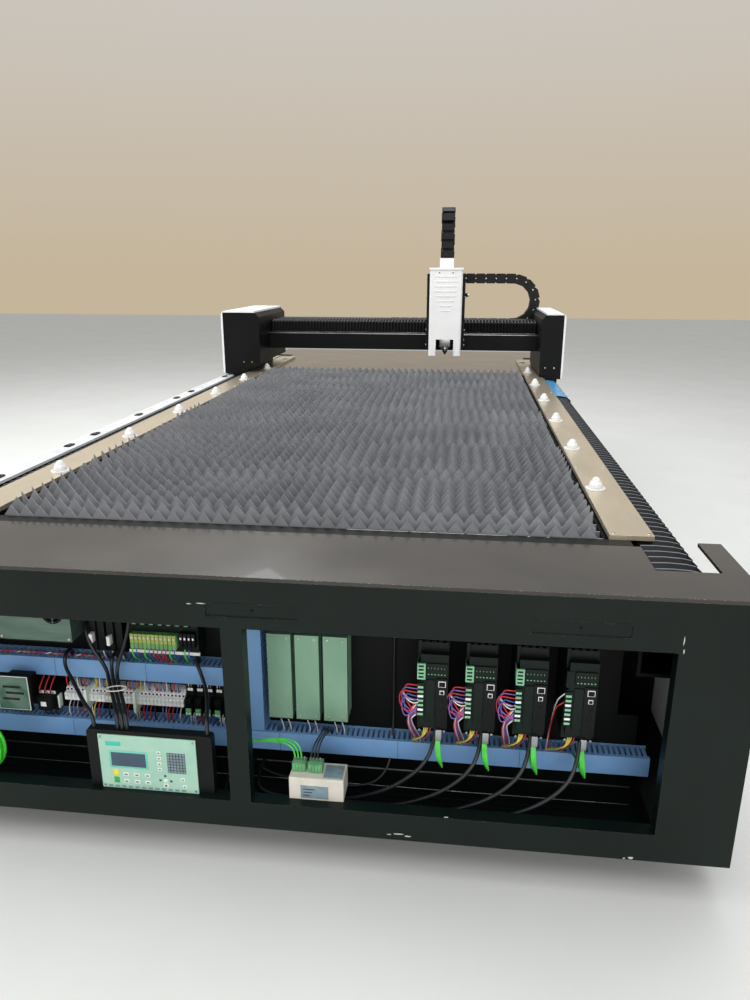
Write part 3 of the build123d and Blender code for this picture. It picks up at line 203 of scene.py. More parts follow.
# Materials: every one is made of nodes, with uneven colour, uneven gloss, grain and rounded edges
def material(name, base, second=None, rough=0.45, spread=0.1, metal=0.0, scale=6.0, stretch=(1, 1, 1),
             bump=0.15, grain=500.0, depth=0.0003, edge=None, edge_share=0.5, coat=0.0, sheen=0.0, rounding=0.0012,
             shine=0.5):
    mat = bpy.data.materials.new(name)
    mat.use_nodes = True
    tree = mat.node_tree
    shader = tree.nodes["Principled BSDF"]

    def node(kind, **values):
        made = tree.nodes.new(kind)
        for key, value in values.items():
            if key in made.inputs:
                made.inputs[key].default_value = value
            else:
                setattr(made, key, value)
        return made

    def link(source, target):
        tree.links.new(source, target)

    where = node("ShaderNodeTexCoord")
    mapping = node("ShaderNodeMapping")
    mapping.inputs["Scale"].default_value = stretch
    link(where.outputs["Object"], mapping.inputs["Vector"])
    cloud = node("ShaderNodeTexNoise", Scale=scale, Detail=6.0, Roughness=0.6)
    link(mapping.outputs["Vector"], cloud.inputs["Vector"])
    fine = node("ShaderNodeTexNoise", Scale=grain, Detail=3.0)
    link(mapping.outputs["Vector"], fine.inputs["Vector"])

    shade = node("ShaderNodeMix", data_type="RGBA")
    spot = node("ShaderNodeMapRange")
    spot.inputs["From Min"].default_value, spot.inputs["From Max"].default_value = 0.38, 0.64
    link(cloud.outputs["Fac"], spot.inputs["Value"])
    link(spot.outputs["Result"], shade.inputs["Factor"])
    shade.inputs["A"].default_value = base
    shade.inputs["B"].default_value = second or tuple(0.8 * c for c in base[:3]) + (1.0,)
    paint = shade.outputs["Result"]

    rounded = node("ShaderNodeBevel", samples=4, Radius=rounding)
    # Rounded edges take an edge colour, broken up by fine noise: on the drag chains it is painted highlight, on the
    # enamels it is wear.
    if edge:
        facing = node("ShaderNodeVectorMath", operation="DOT_PRODUCT")
        flat = node("ShaderNodeNewGeometry")
        link(rounded.outputs["Normal"], facing.inputs[0])
        link(flat.outputs["Normal"], facing.inputs[1])
        rim = node("ShaderNodeMapRange")
        rim.inputs["From Min"].default_value, rim.inputs["From Max"].default_value = 0.985, 0.9
        link(facing.outputs["Value"], rim.inputs["Value"])
        edge_breakup = node("ShaderNodeMapRange")
        edge_breakup.inputs["From Min"].default_value, edge_breakup.inputs["From Max"].default_value = 0.62 - 0.2 * edge_share, 0.7
        link(fine.outputs["Fac"], edge_breakup.inputs["Value"])
        both = node("ShaderNodeMath", operation="MULTIPLY")
        link(rim.outputs["Result"], both.inputs[0])
        link(edge_breakup.outputs["Result"], both.inputs[1])
        edge_mix = node("ShaderNodeMix", data_type="RGBA")
        link(both.outputs["Value"], edge_mix.inputs["Factor"])
        link(paint, edge_mix.inputs["A"])
        edge_mix.inputs["B"].default_value = edge
        paint = edge_mix.outputs["Result"]
    link(paint, shader.inputs["Base Color"])

    gloss = node("ShaderNodeMapRange")
    gloss.inputs["To Min"].default_value = max(0.03, rough - spread)
    gloss.inputs["To Max"].default_value = min(1.0, rough + spread)
    link(cloud.outputs["Fac"], gloss.inputs["Value"])
    link(gloss.outputs["Result"], shader.inputs["Roughness"])

    rise = node("ShaderNodeBump", Strength=bump, Distance=depth)
    link(fine.outputs["Fac"], rise.inputs["Height"])
    link(rounded.outputs["Normal"], rise.inputs["Normal"])
    link(rise.outputs["Normal"], shader.inputs["Normal"])
    shader.inputs["Metallic"].default_value = metal
    shader.inputs["Coat Weight"].default_value = coat
    shader.inputs["Sheen Weight"].default_value = sheen
    shader.inputs["Specular IOR Level"].default_value = shine
    return mat


black = material("black_enamel", rgb(4, 15, 11), rgb(8, 21, 16), 0.36, 0.08, scale=3, bump=0.12, grain=260,
                 edge=rgb(104, 122, 114), edge_share=0.25, shine=0.22)
deck = material("deck_enamel", rgb(24, 20, 15), rgb(37, 32, 25), 0.2, 0.09, scale=5, bump=0.06, grain=160,
                edge=rgb(170, 166, 156), edge_share=0.6, coat=0.3)
inner_black = material("inner_enamel", rgb(3, 6, 5), rgb(6, 10, 8), 0.5, 0.08, scale=8, bump=0.1, grain=300,
                       shine=0.14)
leg_black = material("leg_enamel", rgb(4, 7, 7), rgb(8, 11, 11), 0.46, 0.08, scale=4, bump=0.15, grain=240,
                     edge=rgb(120, 125, 125), edge_share=0.3, shine=0.14)
white = material("white_enamel", rgb(230, 232, 234), rgb(222, 225, 227), 0.36, 0.06, scale=4, bump=0.08, grain=300,
                 edge=rgb(200, 202, 204), edge_share=0.2)
grey = material("grey_coat", rgb(200, 203, 205), rgb(180, 183, 186), 0.45, 0.08, scale=9, bump=0.1, grain=300)
plate_steel = material("rubbed_steel", rgb(205, 193, 170), rgb(186, 175, 154), 0.34, 0.08, metal=0.85, scale=3,
                       stretch=(3, 1, 1), bump=0.2, grain=160, edge=rgb(240, 232, 215))
machined = material("machined_steel", rgb(176, 178, 180), rgb(150, 152, 155), 0.32, 0.08, metal=1.0, scale=20,
                    bump=0.2, grain=600)
zinc = material("zinc_steel", rgb(186, 190, 194), rgb(150, 154, 158), 0.38, 0.12, metal=1.0, scale=45,
                bump=0.1, grain=200)
slat_face = material("slat_scale", rgb(146, 147, 152), rgb(122, 126, 130), 0.5, 0.1, metal=0.4, scale=5,
                     bump=0.3, grain=240)
slat_cut = material("slat_cut_edge", rgb(140, 141, 147), rgb(112, 114, 120), 0.5, 0.1, metal=0.4, scale=60,
                    bump=0.5, grain=900)
nylon = material("white_nylon", rgb(222, 224, 224), rgb(212, 214, 214), 0.3, 0.05, scale=30, bump=0.05,
                 grain=500, coat=0.2)
cloth = material("bellows_cloth", rgb(4, 5, 7), rgb(8, 9, 12), 0.52, 0.1, scale=20, bump=0.5, grain=1400,
                 depth=0.0002, sheen=0.05, rounding=0.002, shine=0.25)
# The fold crests are a lighter copy of the cloth: painted highlight where the crests catch the light.
cloth_crest_highlight = material("bellows_crest_highlight", rgb(98, 108, 116), rgb(80, 90, 98), 0.4, 0.1, scale=40, bump=0.3,
                      grain=1400, depth=0.0002)
# The drag chains' bluish edge colour is painted highlight.
chain_black = material("chain_nylon", rgb(4, 4, 6), rgb(8, 8, 11), 0.38, 0.08, scale=30, bump=0.15, grain=700,
                       edge=rgb(54, 64, 86), edge_share=0.8, shine=0.2)
blue_duct = material("duct_plastic", rgb(116, 160, 208), rgb(108, 150, 198), 0.42, 0.06, scale=5, bump=0.08,
                     grain=500, edge=rgb(160, 192, 230), edge_share=1.0)
mould_black = material("moulded_black", rgb(5, 8, 8), rgb(8, 13, 12), 0.46, 0.07, scale=25, bump=0.3, grain=900,
                       shine=0.2)
board_green = material("case_green", rgb(5, 18, 13), rgb(9, 25, 19), 0.42, 0.08, scale=25, bump=0.2, grain=900,
                       shine=0.2)
plug_green = material("plug_green", rgb(104, 168, 118), rgb(86, 148, 100), 0.4, 0.06, scale=40, bump=0.1, grain=800)
pale_green = material("pale_green", rgb(130, 190, 152), rgb(116, 176, 138), 0.4, 0.06, scale=40, bump=0.1)
clamp_green = material("clamp_green", rgb(160, 178, 84), rgb(142, 160, 70), 0.42, 0.06, scale=60, bump=0.1)
resistor_case = material("anodised_case", rgb(134, 172, 148), rgb(122, 160, 137), 0.36, 0.06, metal=0.4, scale=4,
                         stretch=(2, 2, 1), bump=0.1, grain=240)
ivory = material("ivory_plastic", rgb(208, 205, 194), rgb(196, 192, 181), 0.5, 0.06, scale=20, bump=0.15, grain=700)
terminal_grey = material("terminal_grey", rgb(238, 240, 242), rgb(222, 225, 228), 0.5, 0.06, scale=60, bump=0.2)
screen_glass = material("screen_glass", rgb(34, 62, 82), rgb(40, 70, 92), 0.16, 0.04, scale=10, bump=0.02,
                        coat=0.6)
meter_face = material("meter_face", rgb(70, 100, 88), rgb(58, 86, 76), 0.16, 0.06, scale=12, bump=0.04, coat=0.5)
mint = material("overlay_film", rgb(158, 196, 178), rgb(148, 188, 170), 0.4, 0.05, scale=10, bump=0.12, grain=900)
teal = material("teal_print", rgb(60, 190, 170), rgb(54, 182, 162), 0.4, 0.05)
screen_frame = material("screen_frame", rgb(112, 196, 180), rgb(104, 188, 172), 0.4, 0.05)
key_pale = material("key_pale", rgb(214, 228, 218), rgb(204, 219, 208), 0.42, 0.05)
key_dark = material("key_dark", rgb(48, 62, 56), rgb(56, 70, 64), 0.42, 0.05)
key_yellow = material("key_yellow", rgb(226, 214, 60), rgb(216, 204, 54), 0.42, 0.05)
key_green = material("key_green", rgb(50, 160, 76), rgb(46, 150, 70), 0.42, 0.05)
label_grey = material("bare_label", rgb(120, 142, 152), rgb(106, 128, 138), 0.5, 0.05, scale=60)
jacket = material("cable_jacket", rgb(14, 17, 20), rgb(20, 24, 28), 0.38, 0.08, scale=30, bump=0.15, grain=900)
network_green = material("network_jacket", rgb(66, 200, 48), rgb(54, 180, 40), 0.36, 0.06, scale=30, bump=0.1,
                         grain=900)
film_blue = material("blue_film", rgb(70, 142, 190), rgb(58, 126, 174), 0.3, 0.1, scale=12, bump=0.4, grain=60,
                     depth=0.002)
silver = material("silver_case", rgb(196, 198, 200), rgb(176, 178, 180), 0.3, 0.08, metal=1.0, scale=12, bump=0.1)
supply_steel = material("supply_case", rgb(98, 120, 110), rgb(84, 106, 97), 0.38, 0.08, metal=0.5, scale=10,
                        stretch=(1, 1, 6), bump=0.15, grain=300)
copper = material("copper_tip", rgb(132, 112, 102), rgb(112, 94, 86), 0.28, 0.06, metal=1.0, scale=60, bump=0.1)
chip = material("bare_chip", rgb(200, 202, 198), rgb(170, 172, 168), 0.5, 0.1, metal=0.3, scale=200)
brass_like = material("plated_screw", rgb(206, 204, 192), rgb(186, 184, 172), 0.3, 0.08, metal=1.0, scale=80)

wire_mats = {
    key: material(f"wire_{key}", rgb(*value), rgb(*[int(0.88 * c) for c in value]), 0.4, 0.06, scale=60)
    for key, value in {
        "red": (196, 44, 48), "white": (226, 226, 220), "blue": (70, 92, 178), "purple": (128, 96, 176),
        "yellow": (214, 196, 70), "green": (78, 204, 70), "grey": (140, 142, 146), "black": (22, 23, 25),
    }.items()
}

NODE_MATERIALS = {
    black: "cabinet_face",
    inner_black: "cabinet_shell mounting_panel base_frame cross_members side_beams x_chain_tray y_chain_tray "
                 "gantry_feet rear_end_panel",
    deck: "deck_plate_front deck_plate_rear",
    leg_black: "gantry_legs gantry_beam head_side_plates head_carriage",
    white: "side_covers leg_shells head_cover",
    grey: "guard_rail",
    plate_steel: "side_plates",
    machined: "y_guideways x_guideway y_carriages z_screw z_slide y_pinion_left y_pinion_right x_pinion",
    zinc: "levelling_feet scrap_pans",
    nylon: "ball_housings transfer_balls",
    mould_black: "y_motors head_drives pendant_housing supply_fan relays_and_contactor display_meter",
    board_green: "servo_drives signal_unit",
    resistor_case: "braking_resistors",
    silver: "cutting_head",
    supply_steel: "power_supply",
    network_green: "network_cable",
    copper: "nozzle",
    plug_green: "plug_connectors",
    mint: "pendant_overlay",
    ivory: "io_module",
}
for look, names in NODE_MATERIALS.items():
    for name in names.split():
        mesh = nodes[name].data
        mesh.materials.clear()
        mesh.materials.append(look)


class Shape:
    """A mesh put together from bevelled blocks, bars and drawn outlines, in millimetres."""

    def __init__(self, *looks):
        self.bm = bmesh.new()
        self.looks = looks

    def block(self, x, y, z, bevel=0.0, look=0):
        centre = place((x[0] + x[1]) / 2, (y[0] + y[1]) / 2, (z[0] + z[1]) / 2)
        size = [(b - a) / 1000 for a, b in (x, y, z)]
        matrix = Matrix.Translation(centre) @ Matrix.Diagonal((*size, 1.0))
        made = bmesh.ops.create_cube(self.bm, size=1.0, matrix=matrix)
        for face in {f for v in made["verts"] for f in v.link_faces}:
            face.material_index = look
        if bevel:
            edges = list({e for v in made["verts"] for e in v.link_edges})
            result = bmesh.ops.bevel(self.bm, geom=edges, offset=bevel / 1000, segments=2, profile=0.6,
                                     affect="EDGES")
            for face in result["faces"]:
                face.material_index = look
        return self

    def bar(self, start, end, radius, look=0, sides=14, tip=None):
        """A round bar, or a taper with its own tip radius, between two points."""
        a, b = place(*start), place(*end)
        axis = b - a
        matrix = Matrix.Translation((a + b) / 2) @ axis.to_track_quat("Z", "Y").to_matrix().to_4x4()
        made = bmesh.ops.create_cone(
            self.bm, cap_ends=True, segments=sides, radius1=radius / 1000,
            radius2=(radius if tip is None else tip) / 1000, depth=axis.length, matrix=matrix)
        for face in {f for v in made["verts"] for f in v.link_faces}:
            face.material_index = look
        return self

    def drawn(self, outline, axis, span, look=0):
        """A closed outline drawn out along an axis. Its points are the other two coordinates, in order."""
        def point(a, b, c):
            return place(*{"x": (c, a, b), "y": (a, c, b), "z": (a, b, c)}[axis])
        near = [self.bm.verts.new(point(a, b, span[0])) for a, b in outline]
        far = [self.bm.verts.new(point(a, b, span[1])) for a, b in outline]
        count = len(outline)
        faces = [self.bm.faces.new(near), self.bm.faces.new(far[::-1])]
        for i in range(count):
            j = (i + 1) % count
            faces.append(self.bm.faces.new((near[i], far[i], far[j], near[j])))
        for face in faces:
            face.material_index = look
        return self

    def skin(self, rows):
        """A surface through rows of points, each row as long as the last."""
        grid = [[self.bm.verts.new(place(*p)) for p in row] for row in rows]
        for a, b in zip(grid, grid[1:]):
            for p, q, r, s in zip(a, a[1:], b, b[1:]):
                self.bm.faces.new((p, q, s, r))
        return self

    def piece(self, name, body="bed", replaces=(), slot=None, ride=True, smooth=35):
        bmesh.ops.recalc_face_normals(self.bm, faces=self.bm.faces)
        mesh = bpy.data.meshes.new(name)
        self.bm.to_mesh(mesh)
        self.bm.free()
        for look in self.looks:
            mesh.materials.append(look)
        if smooth:
            mesh.polygons.foreach_set("use_smooth", [True] * len(mesh.polygons))
            mesh.set_sharp_from_angle(angle=math.radians(smooth))
        made = bpy.data.objects.new(name, mesh)
        bpy.context.collection.objects.link(made)
        if ride:
            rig.ride(made, body)
        if replaces:
            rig.replaces(made, *replaces)
        if slot:
            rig.slot(made, slot)
        return made


def spline_curve(name, routes, radius):
    """A curve object with one smooth spline for each route of points, in millimetres."""
    data = bpy.data.curves.new(name, "CURVE")
    data.dimensions = "3D"
    data.bevel_depth = radius / 1000
    data.bevel_resolution = 2
    data.resolution_u = 5
    data.use_fill_caps = True
    for route in routes:
        spline = data.splines.new("NURBS")
        spline.points.add(len(route) - 1)
        for point, where in zip(spline.points, route):
            point.co = (*place(*where), 1.0)
        spline.order_u = 3
        spline.use_endpoint_u = True
    made = bpy.data.objects.new(name, data)
    bpy.context.collection.objects.link(made)
    return made


def wires(name, routes, radius, look, slot="cable_black"):
    """Hook-up wires of one colour as one mesh."""
    curve = spline_curve(name + "_line", routes, radius)
    mesh = bpy.data.meshes.new_from_object(curve)
    bpy.data.objects.remove(curve)
    mesh.name = name
    mesh.materials.clear()
    mesh.materials.append(look)
    mesh.polygons.foreach_set("use_smooth", [True] * len(mesh.polygons))
    made = bpy.data.objects.new(name, mesh)
    bpy.context.collection.objects.link(made)
    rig.ride(made, "bed")
    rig.slot(made, slot)
    return made


# Slat bed: closely set toothed slats in their combs
SLATS, SLAT_FIRST, SLAT_LAST = 55, 40.0, 2762.0
SLAT_HALF, SLAT_END, SLAT_TIP, SLAT_ROOT, SLAT_FOOT = 726.0, 754.0, 40.0, 13.0, -55.0
FRONT_SLAT, TEETH = 12.0, 38
MISSING_SLATS = (29, 46)
# First slat of each batch, and how far its teeth are shifted, in tooth pitches
BATCHES = ((0, 0.0), (1, 0.42), (7, 0.05), (9, 0.5), (16, 0.12), (23, 0.6), (30, 0.2), (40, 0.7), (47, 0.3))
slat_pitch = (SLAT_LAST - SLAT_FIRST) / (SLATS - 1)


def slat_edge(shift):
    """The toothed edge of one slat, from end to end: pairs of x and height."""
    pitch = 2 * SLAT_HALF / TEETH
    depth = SLAT_TIP - SLAT_ROOT
    start = SLAT_ROOT + depth * (1 - abs(1 - 2 * (-shift % 1.0)))
    edge = [(-SLAT_HALF, start)]
    for k in range(2 * TEETH + 2):
        x = -SLAT_HALF + (k / 2 - 1 + shift) * pitch
        if -SLAT_HALF + 1 < x < SLAT_HALF - 1:
            edge.append((x, SLAT_TIP + dice.uniform(-1.5, 0) if k % 2 else SLAT_ROOT))
    return edge + [(SLAT_HALF, start)]


def slat_rows():
    shape = Shape(slat_face, slat_cut)
    bm = shape.bm
    rows = [(FRONT_SLAT, 0.0, -14.0)]
    for row in range(SLATS):
        if row not in MISSING_SLATS:
            shift = [value for first, value in BATCHES if row >= first][-1] + dice.uniform(-0.05, 0.05)
            rows.append((SLAT_FIRST + row * slat_pitch, shift, dice.uniform(-1.5, 0)))
    for y, shift, rise in rows:
        lean = dice.uniform(-2.0, 2.0)
        columns = []
        for x, top in slat_edge(shift % 1.0):
            corners = ((y - 1.5, SLAT_FOOT), (y - 1.5 + lean, top + rise), (y + 1.5 + lean, top + rise),
                       (y + 1.5, SLAT_FOOT))
            columns.append([bm.verts.new(place(x, at, z)) for at, z in corners])
        for (a, b, c, d), (e, f, g, h) in zip(columns, columns[1:]):
            bm.faces.new((a, e, f, b))
            bm.faces.new((d, c, g, h))
            bm.faces.new((b, f, g, c)).material_index = 1
            bm.faces.new((a, d, h, e))
        for column in (columns[0], columns[-1]):
            bm.faces.new(column).material_index = 1
        for side in (-1, 1):
            x = sorted((side * SLAT_HALF, side * SLAT_END))
            shape.block(x, (y - 1.5, y + 1.5), (SLAT_FOOT, -12))
    return shape.piece("toothed_slats", replaces=("support_slats",), slot="slat_steel", smooth=0)


slat_rows()


def comb_bars():
    shape = Shape(inner_black)
    places = [FRONT_SLAT] + [SLAT_FIRST + i * slat_pitch for i in range(SLATS)]
    for side in (-1, 1):
        x = sorted((side * 745.0, side * 757.0))
        shape.block(x, (0, 2800), (-130, -56))
        for a, b in zip([0.0] + [y + 2 for y in places], [y - 2 for y in places] + [2800.0]):
            shape.block(x, (a, b), (-56, -10))
    return shape.piece("comb_bars", replaces=("slat_combs",), slot="plain_steel", smooth=0)


comb_bars()


# Bellows: folded skins, each fold with a flat crest in a lighter colour, which is painted highlight
def fold_rows(start, end, pitch):
    """Places and heights of the folds from start to end: a valley, then the two sides of the flat edge."""
    count = max(2, round((end - start) / pitch))
    step = (end - start) / count
    rows = []
    for k in range(count):
        rows += [(start + k * step, 0), (start + (k + 0.44) * step, 1), (start + (k + 0.58) * step, 1)]
    return rows + [(end, 0)]


def stretch_ends(a, b, fixed, moving):
    """Where a blend has to start and end, so that a and b move in step with their place between two ends."""
    def turned(at):
        share = min(1.0, max(0.0, (at - fixed) / (moving - fixed)))
        return 0.5 - math.sin(math.asin(1 - 2 * share) / 3)
    length = (b - a) / (turned(b) - turned(a))
    start = a - turned(a) * length
    return start, start + length


def folded_skins(name, sections, start, end, pitch, lengths, to_point, bodies, fixed, moving, to_place, plain=0):
    """Bellows in several lengths, so that the folds close up evenly. Their flat crests take a lighter colour, which is
    painted highlight, but for the first plain strips of the section."""
    rows = fold_rows(start, end, pitch)
    folds = (len(rows) - 1) // 3
    cuts = [3 * round(k * folds / lengths) for k in range(lengths + 1)]
    made = []
    for k, (a, b) in enumerate(zip(cuts, cuts[1:])):
        shape = Shape(cloth, cloth_crest_highlight)
        part = rows[a:b + 1]
        shape.skin([[to_point(at, *point) for point in sections[level]] for at, level in part])
        per_row = len(sections[0]) - 1
        shape.bm.faces.ensure_lookup_table()
        for index, face in enumerate(shape.bm.faces):
            row, strip = divmod(index, per_row)
            # Crest faces take the lighter cloth, which is painted highlight.
            face.material_index = 1 if strip >= plain and part[row][1] and part[row + 1][1] else 0
        piece = shape.piece(f"{name}_{k + 1}", ride=False, slot="bellows_fabric", smooth=0)
        first, last = stretch_ends(rows[a][0], rows[b][0], fixed, moving)
        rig.blend(piece, *bodies, to_place(first), to_place(last))
        made.append(piece)
    return made


def side_bellows(name, side, start, end, lengths, fixed, moving):
    high = [(816, -62), (816, -4), (850, -3), (888, -5), (908, -9), (921, -20), (925.5, -38), (925.5, -62)]
    low = [(821, -62), (821, -17), (850, -17), (882, -19), (898, -23), (910, -32), (914, -44), (914, -62)]
    return folded_skins(name, (low, high), start, end, 35.0, lengths, lambda at, x, z: (side * x, at, z),
                        ("bed", "gantry"), fixed, moving, lambda at: place(0, at, 0))


for tag, side in (("right", 1), ("left", -1)):
    front_lengths = side_bellows(f"front_bellows_{tag}", side, -176, 2649.5, 6, -178, 2650)
    rear_lengths = side_bellows(f"rear_bellows_{tag}", side, 3290.5, 3718, 3, 3720, 3290)
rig.replaces(front_lengths[0], "bellows_front")
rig.replaces(rear_lengths[0], "bellows_rear")


def beam_bellows(name, start, end, lengths, fixed, moving):
    y0, y1 = 2940.0, 3007.0
    high = [(y0, 226), (y0, 286), (y0 + 5, 295), (y1, 296.5)]
    low = [(y0 + 8, 226), (y0 + 8, 279), (y0 + 13, 284), (y1, 285)]
    return folded_skins(name, (low, high), start, end, 19.0, lengths, lambda at, y, z: (at, y, z),
                        ("gantry", "head"), fixed, moving, lambda at: place(at, 0, 0), plain=1)


left_lengths = beam_bellows("beam_bellows_left", -766, 188.5, 8, -767, 189)
beam_bellows("beam_bellows_right", 401.5, 825, 4, 826, 401)
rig.replaces(left_lengths[0], "bellows_x")


# Drag chains: a link is two eye-ended side plates joined by two crossbars, with a pin at each joint
def chain_path(anchor, bend, moving, low, radius):
    first, arc = abs(bend - anchor), math.pi * radius
    total = first + arc + abs(bend - moving)
    way = 1 if bend > anchor else -1

    def point(place_on):
        if place_on <= first:
            return anchor + way * place_on, low
        if place_on <= first + arc:
            angle = (place_on - first) / radius
            return bend + way * radius * math.sin(angle), low + radius - radius * math.cos(angle)
        return bend - way * (place_on - first - arc), low + 2 * radius

    return point, total, first, arc


def chain_parts(anchor, bend, moving, low, radius, height, width, pitch, to_place):
    """Three meshes: the lower run, the bend and the upper run. to_place turns (u, across, v) into a point."""
    point, total, first, arc = chain_path(anchor, bend, moving, low, radius)
    count = round(total / pitch)
    step = total / count
    shapes = [Shape(chain_black, machined) for _ in range(3)]

    def slab(shape, outline, a, b):
        near = [shape.bm.verts.new(place(*to_place(u, a, v))) for u, v in outline]
        far = [shape.bm.verts.new(place(*to_place(u, b, v))) for u, v in outline]
        shape.bm.faces.new(near)
        shape.bm.faces.new(far[::-1])
        for i in range(len(outline)):
            j = (i + 1) % len(outline)
            shape.bm.faces.new((near[i], far[i], far[j], near[j]))

    for index in range(count):
        (u0, v0), (u1, v1) = point(index * step), point((index + 1) * step)
        chord = math.hypot(u1 - u0, v1 - v0)
        along = ((u1 - u0) / chord, (v1 - v0) / chord)
        mid = ((u0 + u1) / 2, (v0 + v1) / 2)
        middle = (index + 0.5) * step
        shape = shapes[0 if middle < first else 1 if middle < first + arc else 2]

        def spot(a, b):
            return mid[0] + a * along[0] - b * along[1], mid[1] + a * along[1] + b * along[0]

        half, rise = chord / 2, height / 2
        lean = math.tan(min(0.5, step / radius / 2)) * rise
        outline = [spot(a, b) for a, b in (
            (half + 0.3 * rise, -0.6 * rise), (half + 0.3 * rise, 0.6 * rise), (half - lean, 0.96 * rise),
            (-half + lean, 0.96 * rise), (-half + 0.1 * rise, 0.6 * rise), (-half + 0.1 * rise, -0.6 * rise),
            (-half + lean, -0.96 * rise), (half - lean, -0.96 * rise))]
        inset = 3.0 if index % 2 else 0.5
        for edge, inward in ((0.0, 1), (width, -1)):
            slab(shape, outline, edge + inward * inset, edge + inward * (inset + 4))
            pin = spot(half, 0)
            outer = edge - inward * 0.4
            shape.bar(to_place(pin[0], outer, pin[1]), to_place(pin[0], edge + inward * 6, pin[1]),
                      0.15 * height, look=0, sides=12)
            shape.bar(to_place(pin[0], outer - inward * 0.8, pin[1]), to_place(pin[0], outer, pin[1]),
                      0.07 * height, look=1, sides=8)
        for b in (0.86 * rise, -0.86 * rise):
            reach = half - lean - 1.5
            lid = [spot(a, b + c) for a, c in ((-reach, -1.6), (reach, -1.6), (reach, 1.6), (-reach, 1.6))]
            slab(shape, lid, 4.0, width - 4.0)
    return shapes


def x_chain():
    shapes = chain_parts(-80, 701, 401, 258, 138, 62, 70, 62, lambda u, w, v: (u, 3302 + w, v))
    names = ("cross_chain_low", "cross_chain_bend", "cross_chain_top")
    parts = [shape.piece(name, ride=False, slot="chain_plastic", smooth=0) for shape, name in zip(shapes, names)]
    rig.blend(parts[0], "gantry", "head", place(-80, 0, 0), place(1482, 0, 0))
    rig.blend(parts[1], "gantry", "head", place(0, 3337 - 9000, 0), place(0, 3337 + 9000, 0))
    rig.blend(parts[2], "gantry", "head", place(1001, 0, 0), place(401, 0, 0))
    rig.replaces(parts[0], "x_drag_chain")


def y_chain():
    low = -95 - 130 + 17.5
    shapes = chain_parts(1820, 3220, 2970, low, 65, 35, 39, 50, lambda u, w, v: (-984 + w, u, v))
    names = ("long_chain_low", "long_chain_bend", "long_chain_top")
    parts = [shape.piece(name, ride=False, slot="chain_plastic", smooth=0) for shape, name in zip(shapes, names)]
    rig.blend(parts[0], "bed", "gantry", place(0, 1820, 0), place(0, 4620, 0))
    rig.blend(parts[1], "bed", "gantry", place(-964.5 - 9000, 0, 0), place(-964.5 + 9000, 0, 0))
    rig.blend(parts[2], "bed", "gantry", place(0, 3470, 0), place(0, 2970, 0))
    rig.replaces(parts[0], "y_drag_chain")


def head_top_chain():
    shapes = chain_parts(648, 834, 448, 2745, 70, 32, 73, 46, lambda u, w, v: (258.5 + w, v, u))
    joined = shapes[0]
    for other in shapes[1:]:
        mesh = bpy.data.meshes.new("joining")
        other.bm.to_mesh(mesh)
        other.bm.free()
        joined.bm.from_mesh(mesh)
        bpy.data.meshes.remove(mesh)
    joined.piece("head_top_chain", body="head", replaces=("head_chain",), slot="chain_plastic", smooth=0)


x_chain()
y_chain()
head_top_chain()


# Head cover details
def head_details():
    shape = Shape(white, mould_black)
    shape.block((202, 388), (2646, 2852), (584, 597), bevel=2.5)
    for i in range(8):
        half = 62 if i < 4 else 62 - 9 * (i - 3)
        z = 548 - 26 * i
        shape.block((295 - half, 295 + half), (2648, 2653), (z, z + 5), bevel=1.2)
    for x in (258, 332):
        shape.bar((x, 2649.2, 571), (x, 2651, 571), 3.2, look=1, sides=12)
    for x in (241, 345):
        shape.block((x, x + 4), (2648.5, 2652), (122, 212), bevel=0.8)
    shape.piece("cover_louvres", body="head", slot="white_paint")
    fittings = Shape(leg_black, machined)
    fittings.bar((400, 2780, 449), (415, 2780, 449), 11, look=0)
    fittings.bar((415, 2780, 449), (424, 2780, 449), 7, look=1)
    fittings.bar((400, 2740, 203), (403, 2740, 203), 9, look=1)
    fittings.bar((403, 2740, 203), (404.5, 2740, 203), 5, look=0)
    for x in (190, 400):
        edge = x - 5 if x < 295 else x
        for z in (176, 260, 440, 540):
            fittings.bar((edge, 2720, z), (edge + 5, 2720, z), 5.5, look=1, sides=12)
    fittings.piece("side_fittings", body="head", slot="plain_steel")
    tip = Shape(silver, mould_black)
    tip.block((263.5, 326.5), (2712, 2800), (165, 236), bevel=4)
    tip.bar((295, 2771, 149), (295, 2771, 166), 13, look=1, sides=24, tip=26)
    tip.piece("lens_housing", body="tool", slot="head_silver")


head_details()


# Side plates, gantry legs, rails: bolts and small fittings
def bolts(name, body, spots, axis, radius, height, look, slot):
    """Cap screws: a rounded head with a dark hexagon on top, painted shade of the socket, standing out along an axis.
    """
    shape = Shape(look, mould_black)
    out = Vector(axis)
    for x, y, z in spots:
        base = Vector((x, y, z))
        top, deep = base + out * height, base + out * (height + 0.15)
        shape.bar(base, top, radius, look=0, sides=16, tip=0.88 * radius)
        # The dark hexagon is painted shade of the socket.
        shape.bar(top, deep, 0.5 * radius, look=1, sides=6)
    return shape.piece(name, body=body, slot=slot)


